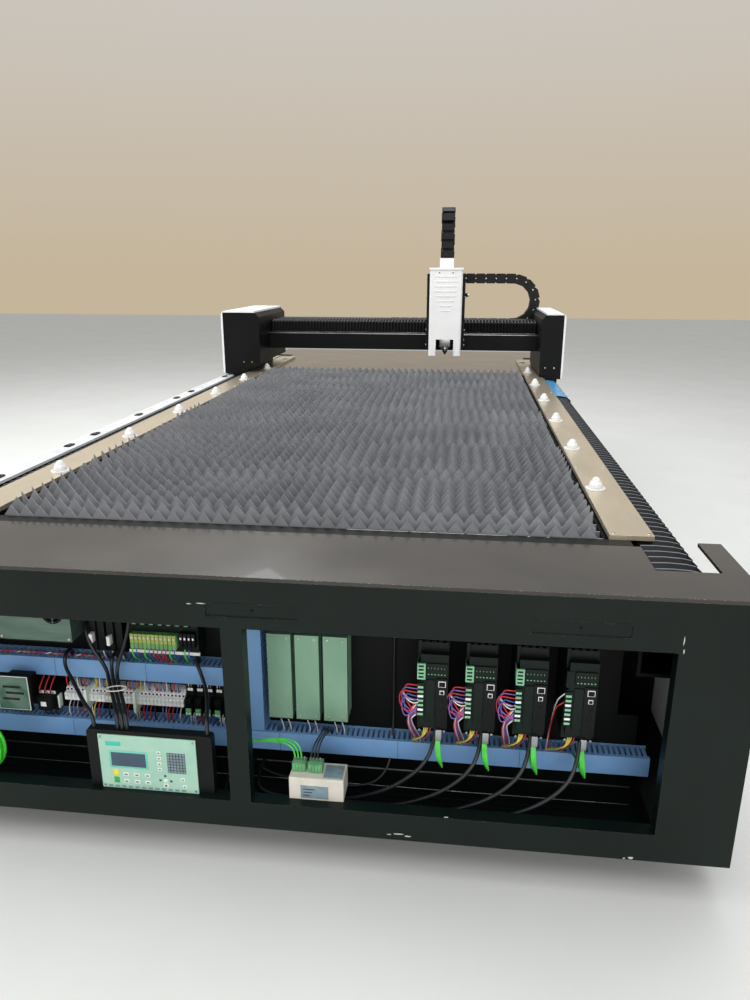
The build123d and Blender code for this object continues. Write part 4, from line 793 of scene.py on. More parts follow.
def small_fittings():
    spots = [(side * x, y, 12) for side in (-1, 1) for x, y in (
        (760, 12), (840, 12), (760, 620), (840, 620), (760, 1120), (840, 1120), (760, 1620), (840, 1620),
        (760, 2110), (840, 2110), (760, 2620), (760, 3080), (760, 3460), (800, 3460))]
    bolts("plate_screws", "bed", spots, (0, 0, 1), 4.5, 2.2, brass_like, "plain_steel")
    spots = [(side * (779 + 23 * math.cos(a)), 384 + 490 * i + 23 * math.sin(a), 16)
             for side in (-1, 1) for i in range(6) for a in (0.5, 2.6, 4.7)]
    bolts("ball_unit_screws", "bed", spots, (0, 0, 1), 2.2, 0.8, brass_like, "plain_steel")
    bolts("left_leg_bolts", "gantry", [(-x, 2650, 71) for x in (818, 866)], (0, -1, 0), 4.5, 3, brass_like,
          "plain_steel")
    bolts("right_leg_bolts", "gantry", [(x, 2650, 64) for x in (858, 907)], (0, -1, 0), 4.5, 3, brass_like,
          "plain_steel")
    bolts("beam_bolts", "gantry", [(x, 2880, z) for x in (-740, -700, 780, 740) for z in (150, 204)], (0, -1, 0), 6.5,
          4, leg_black, "black_paint")
    ring = Shape(brass_like, inner_black, grey)
    for side in (-1, 1):
        ring.bar((side * 779, 3324, 11.5), (side * 779, 3324, 14), 27, look=0, sides=32)
        # The thin dark disc over the spare hole is painted shade of the empty hole.
        ring.bar((side * 779, 3324, 14), (side * 779, 3324, 14.3), 18, look=1, sides=32)
        for i in range(6):
            spot = (side * 779, 384 + 490 * i)
            # The grey ring at the foot of each ball cup is a painted shadow groove.
            ring.bar((*spot, 16), (*spot, 17.5), 20.5, look=2, sides=32)
    ring.piece("ball_unit_rings", slot="plain_steel")
    lip = Shape(machined)
    lip.block((-766, 825), (2878.8, 2883), (218.5, 223.2), bevel=0.6)
    lip.piece("beam_lip", body="gantry", slot="plain_steel")


small_fittings()


def deck_wear():
    shape = Shape(chip)
    for a, b in ((144, 290), (296, 420), (428, 520), (566, 572), (610, 616)):
        shape.block((a, b), (-2.4, -0.4), (0, 0.5), bevel=0.2)
    shape.piece("deck_edge_wear", slot="deck_paint")


deck_wear()


def rail_clips():
    shape = Shape(white, mould_black, machined)
    # The ledge along the left rail takes white enamel: the white is painted light falling from the left on a grey
    # ledge.
    shape.block((-984, -976), (5, 3050), (-15, -4), bevel=1.5)
    for y in (354, 778, 974, 1370, 1812, 2013, 2574):
        shape.block((-972, -950), (y - 20, y + 20), (-6, -1), bevel=1.5, look=1)
        shape.bar((-961, y, -1), (-961, y, 0.6), 4, look=2, sides=10)
    shape.piece("rail_edge_and_clips", slot="grey_paint")


rail_clips()


# Sides and back: seams, screws and vents, which the photograph doesn't show
def cover_fittings():
    shape = Shape(white, mould_black, brass_like)
    seams = [-40 + 829 * k for k in range(6)]
    for side in (-1, 1):
        def span(low, high):
            return sorted((side * low, side * high))
        for y in seams[1:-1]:
            shape.block(span(944.6, 945.3), (y - 1, y + 1), (-575, -236), look=1)
        for a, b in zip(seams, seams[1:]):
            for y in (a + 26, b - 26):
                for z in (-556, -255):
                    shape.bar((side * 944.8, y, z), (side * 947, y, z), 6.5, look=2, sides=14)
                    # The dark hexagon is painted shade of the screw socket.
                    shape.bar((side * 947, y, z), (side * 947.2, y, z), 3, look=1, sides=6)
            for k in range(6):
                z = -470 + 22 * k
                middle = (a + b) / 2
                shape.block(span(944.5, 947.5), (middle - 90, middle + 90), (z, z + 9), bevel=1.4, look=0)
                # The dark strip under each louvre is painted shadow.
                shape.block(span(944.6, 945.4), (middle - 88, middle + 88), (z - 3.5, z), look=1)
    shape.piece("side_cover_fittings", slot="white_paint")
    back = Shape(leg_black, mould_black, brass_like)
    for x in (-313, 313):
        back.block((x - 1, x + 1), (4104.6, 4105.3), (-605, 0), look=1)
    for x in (-915, -640, -345, -281, 0, 281, 345, 640, 915):
        for z in (-585, -300, -22):
            if abs(x) in (640, 0) and z == -300:
                continue
            back.bar((x, 4104.5, z), (x, 4105.9, z), 6.5, look=2, sides=14)
            # The dark hexagon is painted shade of the screw socket.
            back.bar((x, 4105.9, z), (x, 4106, z), 3, look=1, sides=6)
    for middle in (-640, 640):
        for k in range(9):
            z = -400 + 24 * k
            back.block((middle - 120, middle + 120), (4104.4, 4106), (z, z + 9), bevel=0.7, look=0)
            # The dark strip under each louvre is painted shadow.
            back.block((middle - 117, middle + 117), (4104.6, 4105.4), (z - 4, z), look=1)
    back.piece("rear_panel_fittings", slot="black_paint")


cover_fittings()


# Protective film left on the right-hand bellows, close to the leg
def blue_film():
    rows = []
    for k in range(29):
        y = 2060 + 20 * k
        rise = 2.0 + 1.5 * math.sin(k * 1.3)
        rows.append([(855 + 2 * math.sin(k), y, rise), (880, y, rise - 1), (908, y, -5 + rise * 0.6),
                     (927 + 2 * math.cos(k), y, -20), (929, y, -44 + 6 * math.sin(0.8 * k))])
    shape = Shape(film_blue)
    shape.skin(rows)
    made = shape.piece("blue_film_strip", slot="duct_blue", smooth=60, ride=False)
    first, last = stretch_ends(2060, 2620, -178, 2650)
    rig.blend(made, "bed", "gantry", place(0, first, 0), place(0, last, 0))


blue_film()


# Cabinet gear. PANEL is the front of the mounting panel
PANEL = -85.0
DRIVES = (331.0, 434.0, 540.0, 644.0)
RESISTORS = (-22.0, 43.0, 109.0)


def slotted_duct(shape, x, z, upright=False):
    """Slotted trunking: back, fingers on both long sides, and a clipped cover in front."""
    depth, lip, pitch, finger = 50.0, 2.2, 12.5, 7.4
    front = PANEL - depth
    shape.block(x, (PANEL - 2, PANEL), z)
    shape.block(x, (front - 1.2, front + 1.6), z, bevel=0.8)
    if upright:
        for side in ((x[0] + 0.6, x[0] + 2.4), (x[1] - 2.4, x[1] - 0.6)):
            count = int((z[1] - z[0]) / pitch)
            for k in range(count):
                low = z[0] + (k + 0.2) * pitch
                shape.block(side, (front + 1.6, PANEL - 2), (low, low + finger))
        return
    for side in ((z[0] + 0.4, z[0] + 0.4 + lip), (z[1] - 0.4 - lip, z[1] - 0.4)):
        shape.block(x, (front + 1.6, front + 9), side)
        shape.block(x, (PANEL - 7, PANEL - 2), side)
        count = int((x[1] - x[0]) / pitch)
        for k in range(count):
            left = x[0] + (k + 0.2) * pitch
            shape.block((left, left + finger), (front + 9, PANEL - 7), side)
    for k in (0.33, 0.66):
        seam = x[0] + k * (x[1] - x[0])
        shape.block((seam, seam + 0.8), (front - 1.35, front - 1.1), z, look=1)


def ducts():
    shape = Shape(blue_duct, mould_black)
    slotted_duct(shape, (-786, -90), (-361, -313))
    slotted_duct(shape, (-786, -4), (-527, -479))
    slotted_duct(shape, (-3, 861), (-527, -479))
    slotted_duct(shape, (-86, -40), (-477, -108), upright=True)
    shape.piece("slotted_ducts", replaces=("cable_ducts",), slot="duct_blue")


ducts()


def drive_details():
    shape = Shape(pale_green, mould_black, board_green, terminal_grey, key_pale, machined)
    for n, x in enumerate(DRIVES):
        top = PANEL - 145
        if n < 3:
            shape.block((x - 1, x + 17), (top - 6, top + 30), (-252, -214), bevel=1.2, look=0)
            for k in range(4):
                shape.block((x + 2, x + 13), (top - 7, top - 5.5), (-247 + 8.5 * k, -243.5 + 8.5 * k), look=2)
        shape.block((x - 1, x + 15), (top - 4, top + 40), (-345, -262), bevel=1.2, look=2)
        for k in range(7):
            z = -340 + 11 * k
            shape.block((x + 1, x + 13), (top - 5, top - 3.6), (z, z + 5), look=3 if k % 3 == 1 else 0)
        shape.block((x + 18, x + 38), (top - 3, top), (-358, -254), bevel=1.0, look=2)
        shape.block((x + 39, x + 66), (top - 3.4, top), (-368, -250), bevel=1.0, look=1)
        for z, wide, high, look in ((-269, 8, 14, 3), (-287, 5, 10, 3), (-306, 4, 12, 2), (-330, 4, 12, 2)):
            shape.block((x + 53 - wide, x + 53 + wide), (top - 5, top - 3), (z, z + high), bevel=0.8, look=look)
            shape.block((x + 54.5 - wide, x + 51.5 + wide), (top - 5.6, top - 4.6), (z + 1.5, z + high - 1.5), look=1)
        shape.block((x + 18, x + 64), (top - 4, top + 2), (-246, -214), bevel=1.0, look=2)
        for k in range(6):
            shape.block((x + 22 + 7 * k, x + 25 + 7 * k), (top - 5, top - 3.6), (-240, -238), look=0)
            shape.block((x + 22 + 7 * k, x + 23 + 7 * k), (top - 5, top - 3.6), (-226, -223), look=0)
        shape.block((x + 8, x + 64), (top + 14, top + 17), (-196, -172), bevel=0.8, look=1)
        for side in (x + 6, x + 60):
            shape.bar((side, top - 3.6, -378), (side, top - 2, -378), 2.6, look=5, sides=10)
        shape.block((x + 41, x + 55), (top + 4, top + 20), (-408, -381), bevel=1.6, look=5)
    shape.piece("drive_fronts", slot="drive_black")


drive_details()


def resistor_details():
    shape = Shape(brass_like, mould_black)
    for x in RESISTORS:
        for sx in (10, 46):
            for z in (-418, -217):
                shape.bar((x + sx, PANEL - 65, z), (x + sx, PANEL - 67, z), 2.4, look=0, sides=12)
        shape.block((x + 6, x + 50), (PANEL - 58, PANEL - 8), (-434, -427), bevel=1.5, look=1)
    shape.piece("resistor_fittings", slot="resistor_metal")


resistor_details()


def supply_details():
    shape = Shape(supply_steel, mould_black, brass_like)
    front = PANEL - 85
    for radius in (27, 17):
        for quarter in range(4):
            for part in range(5):
                a = math.radians(90 * quarter + 7 + 15 * part)
                b = math.radians(90 * quarter + 7 + 15 * (part + 1))
                points = [(-527 + r * math.cos(t), -177 + r * math.sin(t))
                          for r, t in ((radius - 6, a), (radius, a), (radius, b), (radius - 6, b))]
                shape.drawn(points, "y", (front - 0.3, front + 0.1), look=1)
    for x in (-659, -491):
        for z in (-242, -130):
            shape.bar((x, front - 1.4, z), (x, front, z), 3, look=2, sides=12)
    shape.block((-658, -492), (front + 8, PANEL - 10), (-257, -249.2), bevel=1.0, look=1)
    for k in range(11):
        shape.block((-655 + 15 * k, -645 + 15 * k), (front + 6.6, front + 8.2), (-256, -250.5), look=1)
    shape.piece("supply_fittings", slot="galvanised")


supply_details()


def terminals():
    """Clamp terminals side by side: stepped bodies, dark squares as painted shade of the screw wells, and marker
    strips.
    """
    shape = Shape(terminal_grey, mould_black, key_pale, machined, ivory)
    pitch, count = 9.53, 32
    for k in range(count):
        x = -543 + k * pitch
        look = 4 if 11 <= k < 15 else 0
        points = [(PANEL, -440), (PANEL, -396), (PANEL - 26, -396), (PANEL - 38, -401), (PANEL - 38, -407),
                  (PANEL - 50, -409), (PANEL - 50, -427), (PANEL - 38, -429), (PANEL - 38, -435), (PANEL - 28, -440)]
        shape.drawn(points, "x", (x + 0.5, x + pitch - 0.5), look=look)
        # The dark squares are painted shade of the screw wells.
        for z in (-404, -432):
            shape.block((x + 2.4, x + 7.1), (PANEL - 38.6, PANEL - 37.6), (z - 2.4, z + 2.4), look=1)
        shape.block((x + 1.2, x + 8.3), (PANEL - 50.8, PANEL - 49.8), (-418, -411), look=2)
    for k in (6, 19):
        x = -543 + k * pitch
        shape.block((x, x + 7), (PANEL - 62, PANEL), (-446, -390), bevel=1.5, look=2)
    shape.block((-548, -232), (PANEL - 3, PANEL), (-432, -404), bevel=0.5, look=3)
    shape.piece("terminal_modules", replaces=("terminal_blocks",), slot="terminal_grey")


terminals()


def signal_details():
    shape = Shape(board_green, plug_green, clamp_green, brass_like, mould_black, terminal_grey)
    front = PANEL - 50
    for k in range(11):
        x = -350 + 10.2 * k
        shape.block((x, x + 9.0), (front - 18, front - 12), (-264, -227), bevel=0.8, look=2)
        shape.block((x + 1, x + 8), (front - 19, front - 17.5), (-264, -250), bevel=0.6, look=1)
        shape.block((x + 2, x + 7), (front - 19.6, front - 18.8), (-239, -233), look=3)
        shape.block((x + 2.6, x + 7), (front - 18.7, front - 17.8), (-260, -251), look=4)
    shape.block((-362, -188), (front - 2, front + 4), (-284, -276), bevel=1, look=5)
    for k in range(4):
        x = -232 + 10 * k
        shape.block((x, x + 8), (front - 14, front), (-258, -222), bevel=0.8, look=4)
        shape.block((x + 2, x + 6), (front - 14.6, front - 13.8), (-238, -232), look=5)
    for k in range(7):
        x = -345 + 21 * k
        shape.block((x, x + 15), (front - 16, front), (-206, -186), bevel=1, look=4)
        shape.block((x + 3, x + 12), (front - 16.8, front - 15.8), (-202, -192), look=1)
    for x in (-462, -441, -418, -396):
        shape.block((x, x + 18), (PANEL - 46, PANEL - 8), (-288, -168), bevel=2, look=4)
    for x, z in ((-455, -262), (-412, -266)):
        shape.block((x, x + 8), (PANEL - 62, PANEL - 46), (z, z + 24), bevel=1, look=5)
    shape.piece("signal_plugs", slot="plug_green")


signal_details()


def relay_details():
    shape = Shape(mould_black, terminal_grey, key_pale, brass_like, plug_green)
    for index in range(4):
        x = -233 + 24 * index
        shape.block((x + 4, x + 17), (PANEL - 64, PANEL - 61), (-418, -400), bevel=1, look=0)
        shape.block((x + 4, x + 17), (PANEL - 65, PANEL - 61), (-439, -421), bevel=1, look=4)
        for sx in (4.5, 11.5):
            shape.block((x + sx, x + sx + 5), (PANEL - 66, PANEL - 64.5), (-436, -431), look=2)
            for z in (-450, -384):
                shape.block((x + sx, x + sx + 6), (PANEL - 43.5, PANEL - 41.5), (z, z + 7), look=1)
    for k in range(3):
        x = -600 + 15 * k
        shape.block((x, x + 11), (PANEL - 62, PANEL - 59), (-406, -399), bevel=0.5, look=1)
        shape.bar((x + 5.5, PANEL - 62, -402.5), (x + 5.5, PANEL - 63.2, -402.5), 3, look=3, sides=10)
    shape.block((-590, -576), (PANEL - 79.0, PANEL - 77.6), (-432, -420), bevel=0.6, look=1)
    shape.block((-556, -552), (PANEL - 60, PANEL - 44), (-446, -412), bevel=1, look=2)
    shape.piece("relay_fronts", slot="drive_black")


relay_details()


def meter_details():
    shape = Shape(screen_glass, mould_black, meter_face, key_pale)
    front = PANEL - 114
    shape.block((-673, -589), (front - 1.5, front + 2), (-423, -328), bevel=3, look=1)
    shape.block((-671, -591), (front - 2.4, front - 1.2), (-420, -331), bevel=1.2, look=3)
    shape.block((-669, -593), (front - 3.0, front - 2.0), (-418, -333), bevel=1.0, look=2)
    for row, (left, right) in enumerate(((-655, -610), (-650, -604), (-658, -616))):
        shape.block((left, right), (front - 3.2, front - 2.9), (-362 - 16 * row, -356 - 16 * row), look=0)
    shape.piece("meter_front", slot="meter_grey")


meter_details()


# Control pendant: film overlay with its keys, bar and screen
def pendant_details():
    shape = Shape(mint, teal, screen_glass, key_pale, key_dark, key_yellow, key_green, machined, label_grey,
                  screen_frame)
    face = -300 - 2.5

    def pad(x, z, wide, high, look, out=0.7, bevel=0.5):
        shape.block((x - wide / 2, x + wide / 2), (face - out, face + 0.3), (z - high / 2, z + high / 2),
                    bevel=bevel, look=look)

    pad(-341, -421, 35, 10, 1)
    pad(-308, -460.5, 90, 45, 9, out=0.4)
    pad(-308, -460.5, 80, 35, 2, out=1.2)
    pad(-197, -461, 42, 52, 4, out=0.35, bevel=0)
    for row in range(7):
        for column in range(6):
            pad(-214.5 + 7.0 * column, -438.8 - 7.4 * row, 5.2, 5.4, 8, out=0.9)
    for k in range(4):
        pad(-236.5, -437 - 14.2 * k, 10, 8.5, 3, out=0.9)
        pad(-236.5, -437 - 14.2 * k, 5, 2.6, 4, out=1.1, bevel=0)
    pad(-340, -496, 12, 16, 5)
    pad(-340, -515, 12, 15, 6)
    for row in range(2):
        for k in range(3):
            pad(-317 + 25 * k, -499 - 18 * row, 13, 9, 3, out=0.9)
            pad(-317 + 25 * k, -499 - 18 * row, 7, 3, 4, out=1.1, bevel=0)
    for x, z in ((-225.5, -496), (-237.5, -508), (-212.5, -509)):
        pad(x, z, 5.5, 5, 4, out=0.9)
    pad(-225, -521, 11, 10, 3, out=0.9)
    pad(-225, -521, 5.5, 5, 4, out=1.2)
    pad(-225, -508, 9, 8, 3, out=0.9)
    for x, z in ((-185, -503), (-182, -521)):
        pad(x, z, 10, 8, 3, out=0.9)
        pad(x, z, 4, 3, 4, out=1.1, bevel=0)
    for x in (-369, -156):
        for z in (-405, -530):
            shape.bar((x, face, z), (x, face - 1.4, z), 2.6, look=7, sides=12)
    for k in range(12):
        pad(-356 + 15.6 * k, -532, 10, 5, 8, out=0.3, bevel=0)
    shape.piece("pendant_keys", slot="overlay_mint")


pendant_details()


def module_details():
    shape = Shape(ivory, plug_green, label_grey, mould_black, zinc)
    shape.block((80, 142), (-291.2, -289), (-534, -502), bevel=0.4, look=2)
    for k in range(3):
        shape.block((86, 112 - 6 * k), (-291.8, -291), (-511 - 8 * k, -509.6 - 8 * k), look=3)
    shape.block((130, 172), (-284, -240), (-484.3, -481), bevel=1.0, look=2)
    for x0 in (58, 94):
        for k in range(4):
            x = x0 + 7.4 * k
            shape.block((x, x + 6.2), (-271, -268.5), (-480, -464), bevel=0.4, look=1)
            shape.bar((x + 3.1, -257, -463), (x + 3.1, -257, -452), 2, look=4, sides=8)
    for z in (-500, -520):
        shape.block((53, 55), (-282, -240), (z, z + 5), look=3)
    shape.piece("module_fittings", slot="module_beige")


module_details()


# Ribs pressed into the cabinet floor, and the bright edge where the panel meets it; that edge and two rib crests are
# zinc lines of painted highlight
def floor_ribs():
    shape = Shape(zinc, inner_black)
    # The zinc strip at the foot of the black panel is painted highlight.
    shape.block((-778, 836), (PANEL - 2.2, PANEL - 0.2), (-597, -594), bevel=0.5)
    for k, y in enumerate((-150, -176, -194, -212, -230, -262)):
        shape.block((-800, 820), (y - 2.5, y + 2.5), (-597.2, -595.6), bevel=0.7, look=1)
        # Zinc lines on the crests of the first and last rib are painted highlights.
        if k in (0, 5):
            shape.block((-800, 820), (y - 0.5, y + 0.5), (-595.7, -595.2))
    shape.piece("floor_ribs", slot="black_paint")


floor_ribs()


def face_details():
    shape = Shape(black, chip)
    for x in (-6.0, 650.0, -653.0):
        shape.bar((x, -315, -75), (x, -313, -75), 3.0, look=0, sides=16)
        shape.block((x - 99, x + 99), (-315.6, -314.8), (-93, -91.6), bevel=0.2)
        shape.block((x - 99, x + 99), (-315.6, -314.8), (-59, -57.6), bevel=0.2)
    for x, z, wide, high in ((300, -589, 34, 4), (322, -593, 18, 5), (280, -592, 12, 3), (793, -600, 14, 8),
                             (780, -602, 7, 5), (843, -88, 3, 30), (845, -110, 4, 14), (-110, -62, 26, 3),
                             (-136, -64, 14, 3), (402, -535, 12, 4)):
        count = 9
        outline = []
        for k in range(count):
            a = 2 * math.pi * k / count
            reach = dice.uniform(0.55, 1.0)
            outline.append((x + 0.5 * wide * reach * math.cos(a), z + 0.5 * high * reach * math.sin(a)))
        shape.drawn(outline, "y", (-315.12, -314.9), look=1)
    shape.piece("face_marks", slot="black_paint")


face_details()


# Wiring: hook-up wires of the gear, colour by colour
def wiring():
    routes = {key: [] for key in wire_mats}

    def add(key, *points):
        routes[key].append([tuple(p) for p in points])

    def down(key, x, top, bottom, y, lean=0.0, bow=6.0):
        mid = (top + bottom) / 2
        add(key, (x, y, top), (x + 0.2 * lean, y - bow, top - 5), (x + 0.5 * lean, y - bow - 2, mid),
            (x + 0.8 * lean, y - bow + 2, bottom + 5), (x + lean, y + 6, bottom - 6))

    # Clamp terminals, contactor and relays, up to one trunking and down to the other
    colours = ["red", "red", "blue", "white", "yellow", "grey", "blue", "red", "black", "white", "purple", "red"]
    for k in range(32):
        x = -538.5 + 9.53 * k
        if k % 8 != 7:
            key = "yellow" if 11 <= k < 15 else colours[(k * 5) % 12]
            down(key, x, -394, -360, PANEL - 30, lean=dice.uniform(-3, 3), bow=8)
        if k % 7 != 3:
            down(colours[(k * 7 + 3) % 12], x, -440, -482, PANEL - 30, lean=dice.uniform(-9, 9), bow=8)
    for k in range(3):
        x = -597 + 14 * k
        add("red", (x, PANEL - 61, -402), (x, PANEL - 67, -394), (x + 2, PANEL - 58, -380), (x + 3, PANEL - 36, -364),
            (x + 3, PANEL - 30, -350))
        add("black", (x, PANEL - 50, -452), (x - 1, PANEL - 54, -460), (x - 2, PANEL - 44, -474),
            (x - 2, PANEL - 30, -488))
    for index in range(4):
        x = -233 + 24 * index
        for sx, key in ((5, "white"), (11, "grey"), (17, "black")):
            down(key, x + sx, -377, -359, PANEL - 30, lean=dice.uniform(-2, 2))
            down(("red", "blue", "white")[(index + sx) % 3], x + sx, -452, -484, PANEL - 28,
                 lean=dice.uniform(-4, 4))

    # Signal unit, and the wires that lie in the upper trunking
    for k in range(15):
        x = -345.5 + 10.2 * k if k < 11 else -228.0 + 10 * (k - 11)
        key = "red" if 5 <= k <= 8 else ("green", "blue", "white")[k % 3]
        if k % 3 != 2 or key == "red":
            add(key, (x, PANEL - 65, -262), (x, PANEL - 73, -272), (x + dice.uniform(-4, 4), PANEL - 62, -292),
                (x + dice.uniform(-6, 6), PANEL - 38, -308), (x, PANEL - 30, -322))
    for k in range(26):
        x = -776 + 13 * k + dice.uniform(-4, 4)
        key = ("red", "red", "purple", "white", "red", "grey")[k % 6]
        add(key, (x - 14, PANEL - 30, -320), (x - 6, PANEL - 34, -312 + dice.uniform(-1, 3)), (x + 8, PANEL - 28, -311),
            (x + 22, PANEL - 30, -320))
    for x in (-462, -441, -418, -396):
        for dx, key in ((5, "white"), (12, "black")):
            add(key, (x + dx, PANEL - 30, -286), (x + dx, PANEL - 37, -295), (x + dx + 3, PANEL - 34, -308),
                (x + dx + 4, PANEL - 30, -320))
    for x in RESISTORS:
        for dx in (20, 38):
            add("white", (x + dx, PANEL - 40, -433), (x + dx, PANEL - 42, -444), (x + dx + 6, PANEL - 38, -462),
                (x + dx + 5, PANEL - 30, -486))

    # Drives: loops from plug to plug, and the wires to the lower trunking
    for n, x in enumerate(DRIVES):
        y = PANEL - 147
        if n < 3:
            for k in range(5):
                key = ("red", "purple", "red", "blue", "purple")[k]
                wide, z = 26 + 5 * (k % 3), -268 - 9 * k
                add(key, (x + 2, y, z), (x - 8, y - 10, z + 6), (x - wide, y - 4, z + 4 + 2 * k),
                    (x - wide - 4, y + 4, z - 26), (x - wide + 8, y + 2, z - 52), (x + 1, y, -342 + 5 * k))
            for k in range(2):
                add("white", (x + 2, y - 1, -302 - 8 * k), (x - 10, y - 8, -302 - 8 * k), (x - 26, y - 2, -294 - 4 * k),
                    (x - 34, y + 8, -288))
            for k in range(6):
                key = ("red", "white", "purple", "red", "blue", "white")[k]
                add(key, (x + 1, y + 4, -310 - 6 * k), (x - 10, y - 2, -316 - 6 * k), (x - 24 + 2 * k, y + 16, -366),
                    (x - 18 + 3 * k, y + 60, -424), (x - 12 + 3 * k, y + 104, -466), (x - 10 + 3 * k, y + 112, -488))
        else:
            for k in range(2):
                add(("white", "red")[k], (x + 1, y + 4, -268 - 20 * k), (x - 8, y, -272 - 20 * k),
                    (x - 16, y + 20, -300 - 14 * k), (x - 20, y + 60, -400), (x - 16 + 3 * k, y + 110, -488))
        for k in range(3):
            add("yellow", (x + 16 + 4 * k, y + 20, -383), (x + 14 + 3 * k, y + 12, -400),
                (x + 4 - 6 * k, y + 40, -428 - 3 * k), (x - 16 + 4 * k, y + 84, -460), (x - 14 + 6 * k, y + 112, -488))
        for k in range(4):
            add("green", (x + 43 + 2.4 * k, y + 14, -407), (x + 43 + 2.6 * k, y + 8, -418),
                (x + 44 + 3.4 * k, y + 2, -440 - 4 * k), (x + 49 + 3.6 * k, y + 14, -470 - 6 * k),
                (x + 46 + 3 * k, y + 34, -470 - 2 * k), (x + 42 + 2 * k, y + 70, -462), (x + 40, y + 112, -488))
        add("red", (x + 30, y + 22, -383), (x + 28, y + 16, -398), (x + 16, y + 50, -434), (x + 8, y + 108, -488))

    # Small module: a green lead behind the post, and black wires up to the resistors
    for k in range(3):
        x = 62 + 7.4 * k
        add("green", (x, -257, -455), (x - 1, -256, -436 + 4 * k), (x - 22, -250, -424 + 5 * k),
            (x - 60, -232, -436 + 4 * k), (x - 112, -214, -452 + 3 * k), (x - 146, -206, -462))
    for k in range(3):
        x = 98 + 7.4 * k
        add("black", (x, -257, -455), (x + 1, -257, -440), (x + 8, -236, -424 + 5 * k), (x + 14, -190, -430),
            (x + 12, -150, -446), (x + 8, PANEL - 40, -462), (x + 6, PANEL - 30, -486))
    add("white", *[(-365 + 26 * math.cos(a), -214 + 12 * math.sin(a), -337 + 3 * math.cos(a))
                   for a in (0.4 * k for k in range(17))])
    slots = {"green": "plug_green"}
    radii = {"green": 1.9, "yellow": 1.5, "black": 1.8, "red": 1.45}
    for key, lines in routes.items():
        if lines:
            wires(f"wires_{key}", lines, radii.get(key, 1.35), wire_mats[key], slot=slots.get(key, "cable_black"))
    lead = [(269, PANEL - 4, -120), (269, PANEL - 10, -180), (268, PANEL - 10, -440), (268, PANEL - 34, -500),
            (262, PANEL - 60, -545), (236, PANEL - 74, -578), (190, PANEL - 80, -591), (120, PANEL - 78, -592),
            (-30, PANEL - 60, -592), (-60, PANEL - 30, -592)]
    wires("motor_lead", [lead], 2.8, wire_mats["black"])


wiring()


# Cables: the points of the CAD tubes, on one smooth line each
DRIVE_LOW, FLOOR_LEVEL = -385.0, -592.2
PENDANT_TOP, ARCH = -389.0, -290.0
LENGTHS = {"drive": (0.65, 0.79, 0.93, 1.06), "pendant": (0.32, 0.345, 0.29, 0.49, 0.28)}


def cable(name, route, length):
    made = spline_curve(name, [route], 4.5)
    made.data.materials.append(jacket)
    made.data.resolution_u = 12
    made.data.bevel_resolution = 3
    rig.ride(made, "bed")
    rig.slot(made, "cable_black")
    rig.cord(made, exit=tuple(place(*route[0])), length=length, diameter=0.009, far_end="object",
            stiffness="medium", lay="hanging")
    return made


def level(share):
    """A height between the cabinet floor and the underside of the drives."""
    return FLOOR_LEVEL + share * (DRIVE_LOW - FLOOR_LEVEL)


def hang(share):
    """A height on the way from a cable's arch down to the top of the pendant."""
    return PENDANT_TOP + share * (ARCH - PENDANT_TOP)


def drive_route(n, x):
    y = PANEL - 105 - 11 * n
    return [(x + 40, y, DRIVE_LOW), (x + 40, y, level(0.78)), (x + 20, y - 28, level(0.55)),
            (x - 40, y - 36, level(0.29)), (x - 120, y - 34, level(0.09)), (x - 200, y - 30, FLOOR_LEVEL),
            (-20 - 24 * n, y - 30, FLOOR_LEVEL), (-58 - 24 * n, y + 20, FLOOR_LEVEL), (-58 - 24 * n, PANEL, FLOOR_LEVEL)]


def from_duct(x):
    return [(x, -112, -351), (x, -112, ARCH)]


def to_pendant(x):
    return [(x, -289, hang(0.27)), (x, -289, PENDANT_TOP)]


def bundle(shift):
    """The stretch that three cables share, side by side."""
    return [(-400 + shift, -160, hang(0.72)), (-378 + shift, -196, hang(0.48)), (-345 + shift, -246, hang(0.33))]


def pendant_routes():
    return [
        from_duct(-520) + [(-518, -150, hang(0.98)), (-516, -162, hang(0.72)), (-482, -190, hang(0.48)),
                           (-436, -240, hang(0.32))] + to_pendant(-387),
        [(-472, PANEL, -206), (-472, -132, -212), (-452, -152, -264)] + bundle(-11) + to_pendant(-332),
        from_duct(-400) + [(-400, -150, ARCH)] + bundle(0) + to_pendant(-321),
        [(-338, -150, -8), (-338, -150, -130), (-354, -152, -232)] + bundle(11) + to_pendant(-310),
        from_duct(-200) + [(-194, -150, hang(0.98)), (-176, -164, hang(0.68)), (-150, -204, hang(0.4))]
        + to_pendant(-126)]


def cables():
    made = [cable(f"drive_cable_{n + 1}", drive_route(n, x), length)
            for n, (x, length) in enumerate(zip(DRIVES, LENGTHS["drive"]))]
    for n, (route, length) in enumerate(zip(pendant_routes(), LENGTHS["pendant"])):
        made.append(cable(f"pendant_cable_{n + 1}", route, length))
    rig.replaces(made[0], "cabinet_cables")


cables()


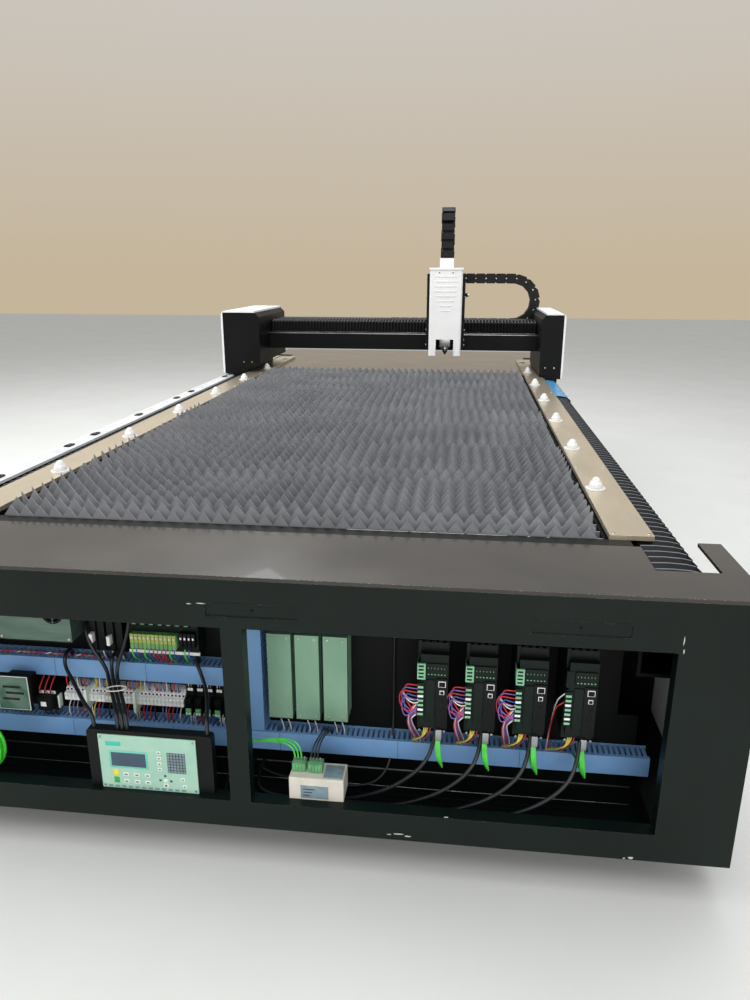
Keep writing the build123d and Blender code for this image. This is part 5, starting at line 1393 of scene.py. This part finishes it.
# Studio: floor, light and the camera of the photograph
def studio():
    floor = Shape(material("studio_floor", rgb(206, 208, 206), rgb(202, 204, 202), 0.6, 0.05, scale=2, bump=0.0))
    floor.skin([[(-16000, -14000, -700), (16000, -14000, -700)], [(-16000, 20000, -700), (16000, 20000, -700)]])
    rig.stage(floor.piece("floor", ride=False, smooth=0))

    world = bpy.data.worlds.new("soft_room")
    bpy.context.scene.world = world
    world.use_nodes = True
    tree = world.node_tree
    back = tree.nodes["Background"]
    where = tree.nodes.new("ShaderNodeTexCoord")
    split = tree.nodes.new("ShaderNodeSeparateXYZ")
    ramp = tree.nodes.new("ShaderNodeValToRGB")
    tree.links.new(where.outputs["Generated"], split.inputs["Vector"])
    tree.links.new(split.outputs["Z"], ramp.inputs["Fac"])
    tree.links.new(ramp.outputs["Color"], back.inputs["Color"])
    ramp.color_ramp.elements[0].position, ramp.color_ramp.elements[0].color = 0.0, rgb(225, 207, 178)
    ramp.color_ramp.elements[1].position, ramp.color_ramp.elements[1].color = 0.45, rgb(236, 236, 236)
    back.inputs["Strength"].default_value = 0.74

    def lamp(name, where_at, aim, size, power, tint=(1, 1, 1)):
        data = bpy.data.lights.new(name, "AREA")
        data.shape, data.size, data.size_y = "RECTANGLE", size[0], size[1]
        data.energy, data.color = power, tint
        made = bpy.data.objects.new(name, data)
        made.location = where_at
        made.rotation_mode = "QUATERNION"
        made.rotation_quaternion = (Vector(aim) - Vector(where_at)).to_track_quat("-Z", "Y")
        bpy.context.collection.objects.link(made)

    lamp("ceiling", (-0.6, 0.6, 4.6), (0, 0.2, 0.6), (6.5, 8.0), 330)
    lamp("left_window", (-5.5, -2.6, 2.8), (0, -0.6, 0.6), (3.6, 3.0), 150, (1.0, 0.985, 0.96))
    lamp("front_fill", (0.9, -6.4, 1.7), (0, -2.0, 0.4), (4.4, 2.6), 95)
    lamp("front_high", (0.6, -4.6, 4.4), (0, 1.0, 1.2), (3.0, 2.0), 60)

    data = bpy.data.cameras.new("photo_camera")
    data.sensor_fit, data.sensor_width, data.lens = "AUTO", 36.0, 27.182
    data.clip_start, data.clip_end = 0.05, 100
    camera = bpy.data.objects.new("photo_camera", data)
    turn = Matrix((SCREEN_RIGHT, SCREEN_UP, -SCREEN_AWAY)).transposed().to_4x4()
    camera.matrix_world = Matrix.Translation((0.40503, -3.56977, 1.29104)) @ turn
    bpy.context.collection.objects.link(camera)
    bpy.context.scene.camera = camera
    bpy.context.scene.view_settings.view_transform = "Standard"


studio()

made_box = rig.bounds()
with open("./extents.json", "w") as out:
    json.dump({"cad": [list(corner) for corner in cad_box], "scene": [list(corner) for corner in made_box]}, out)
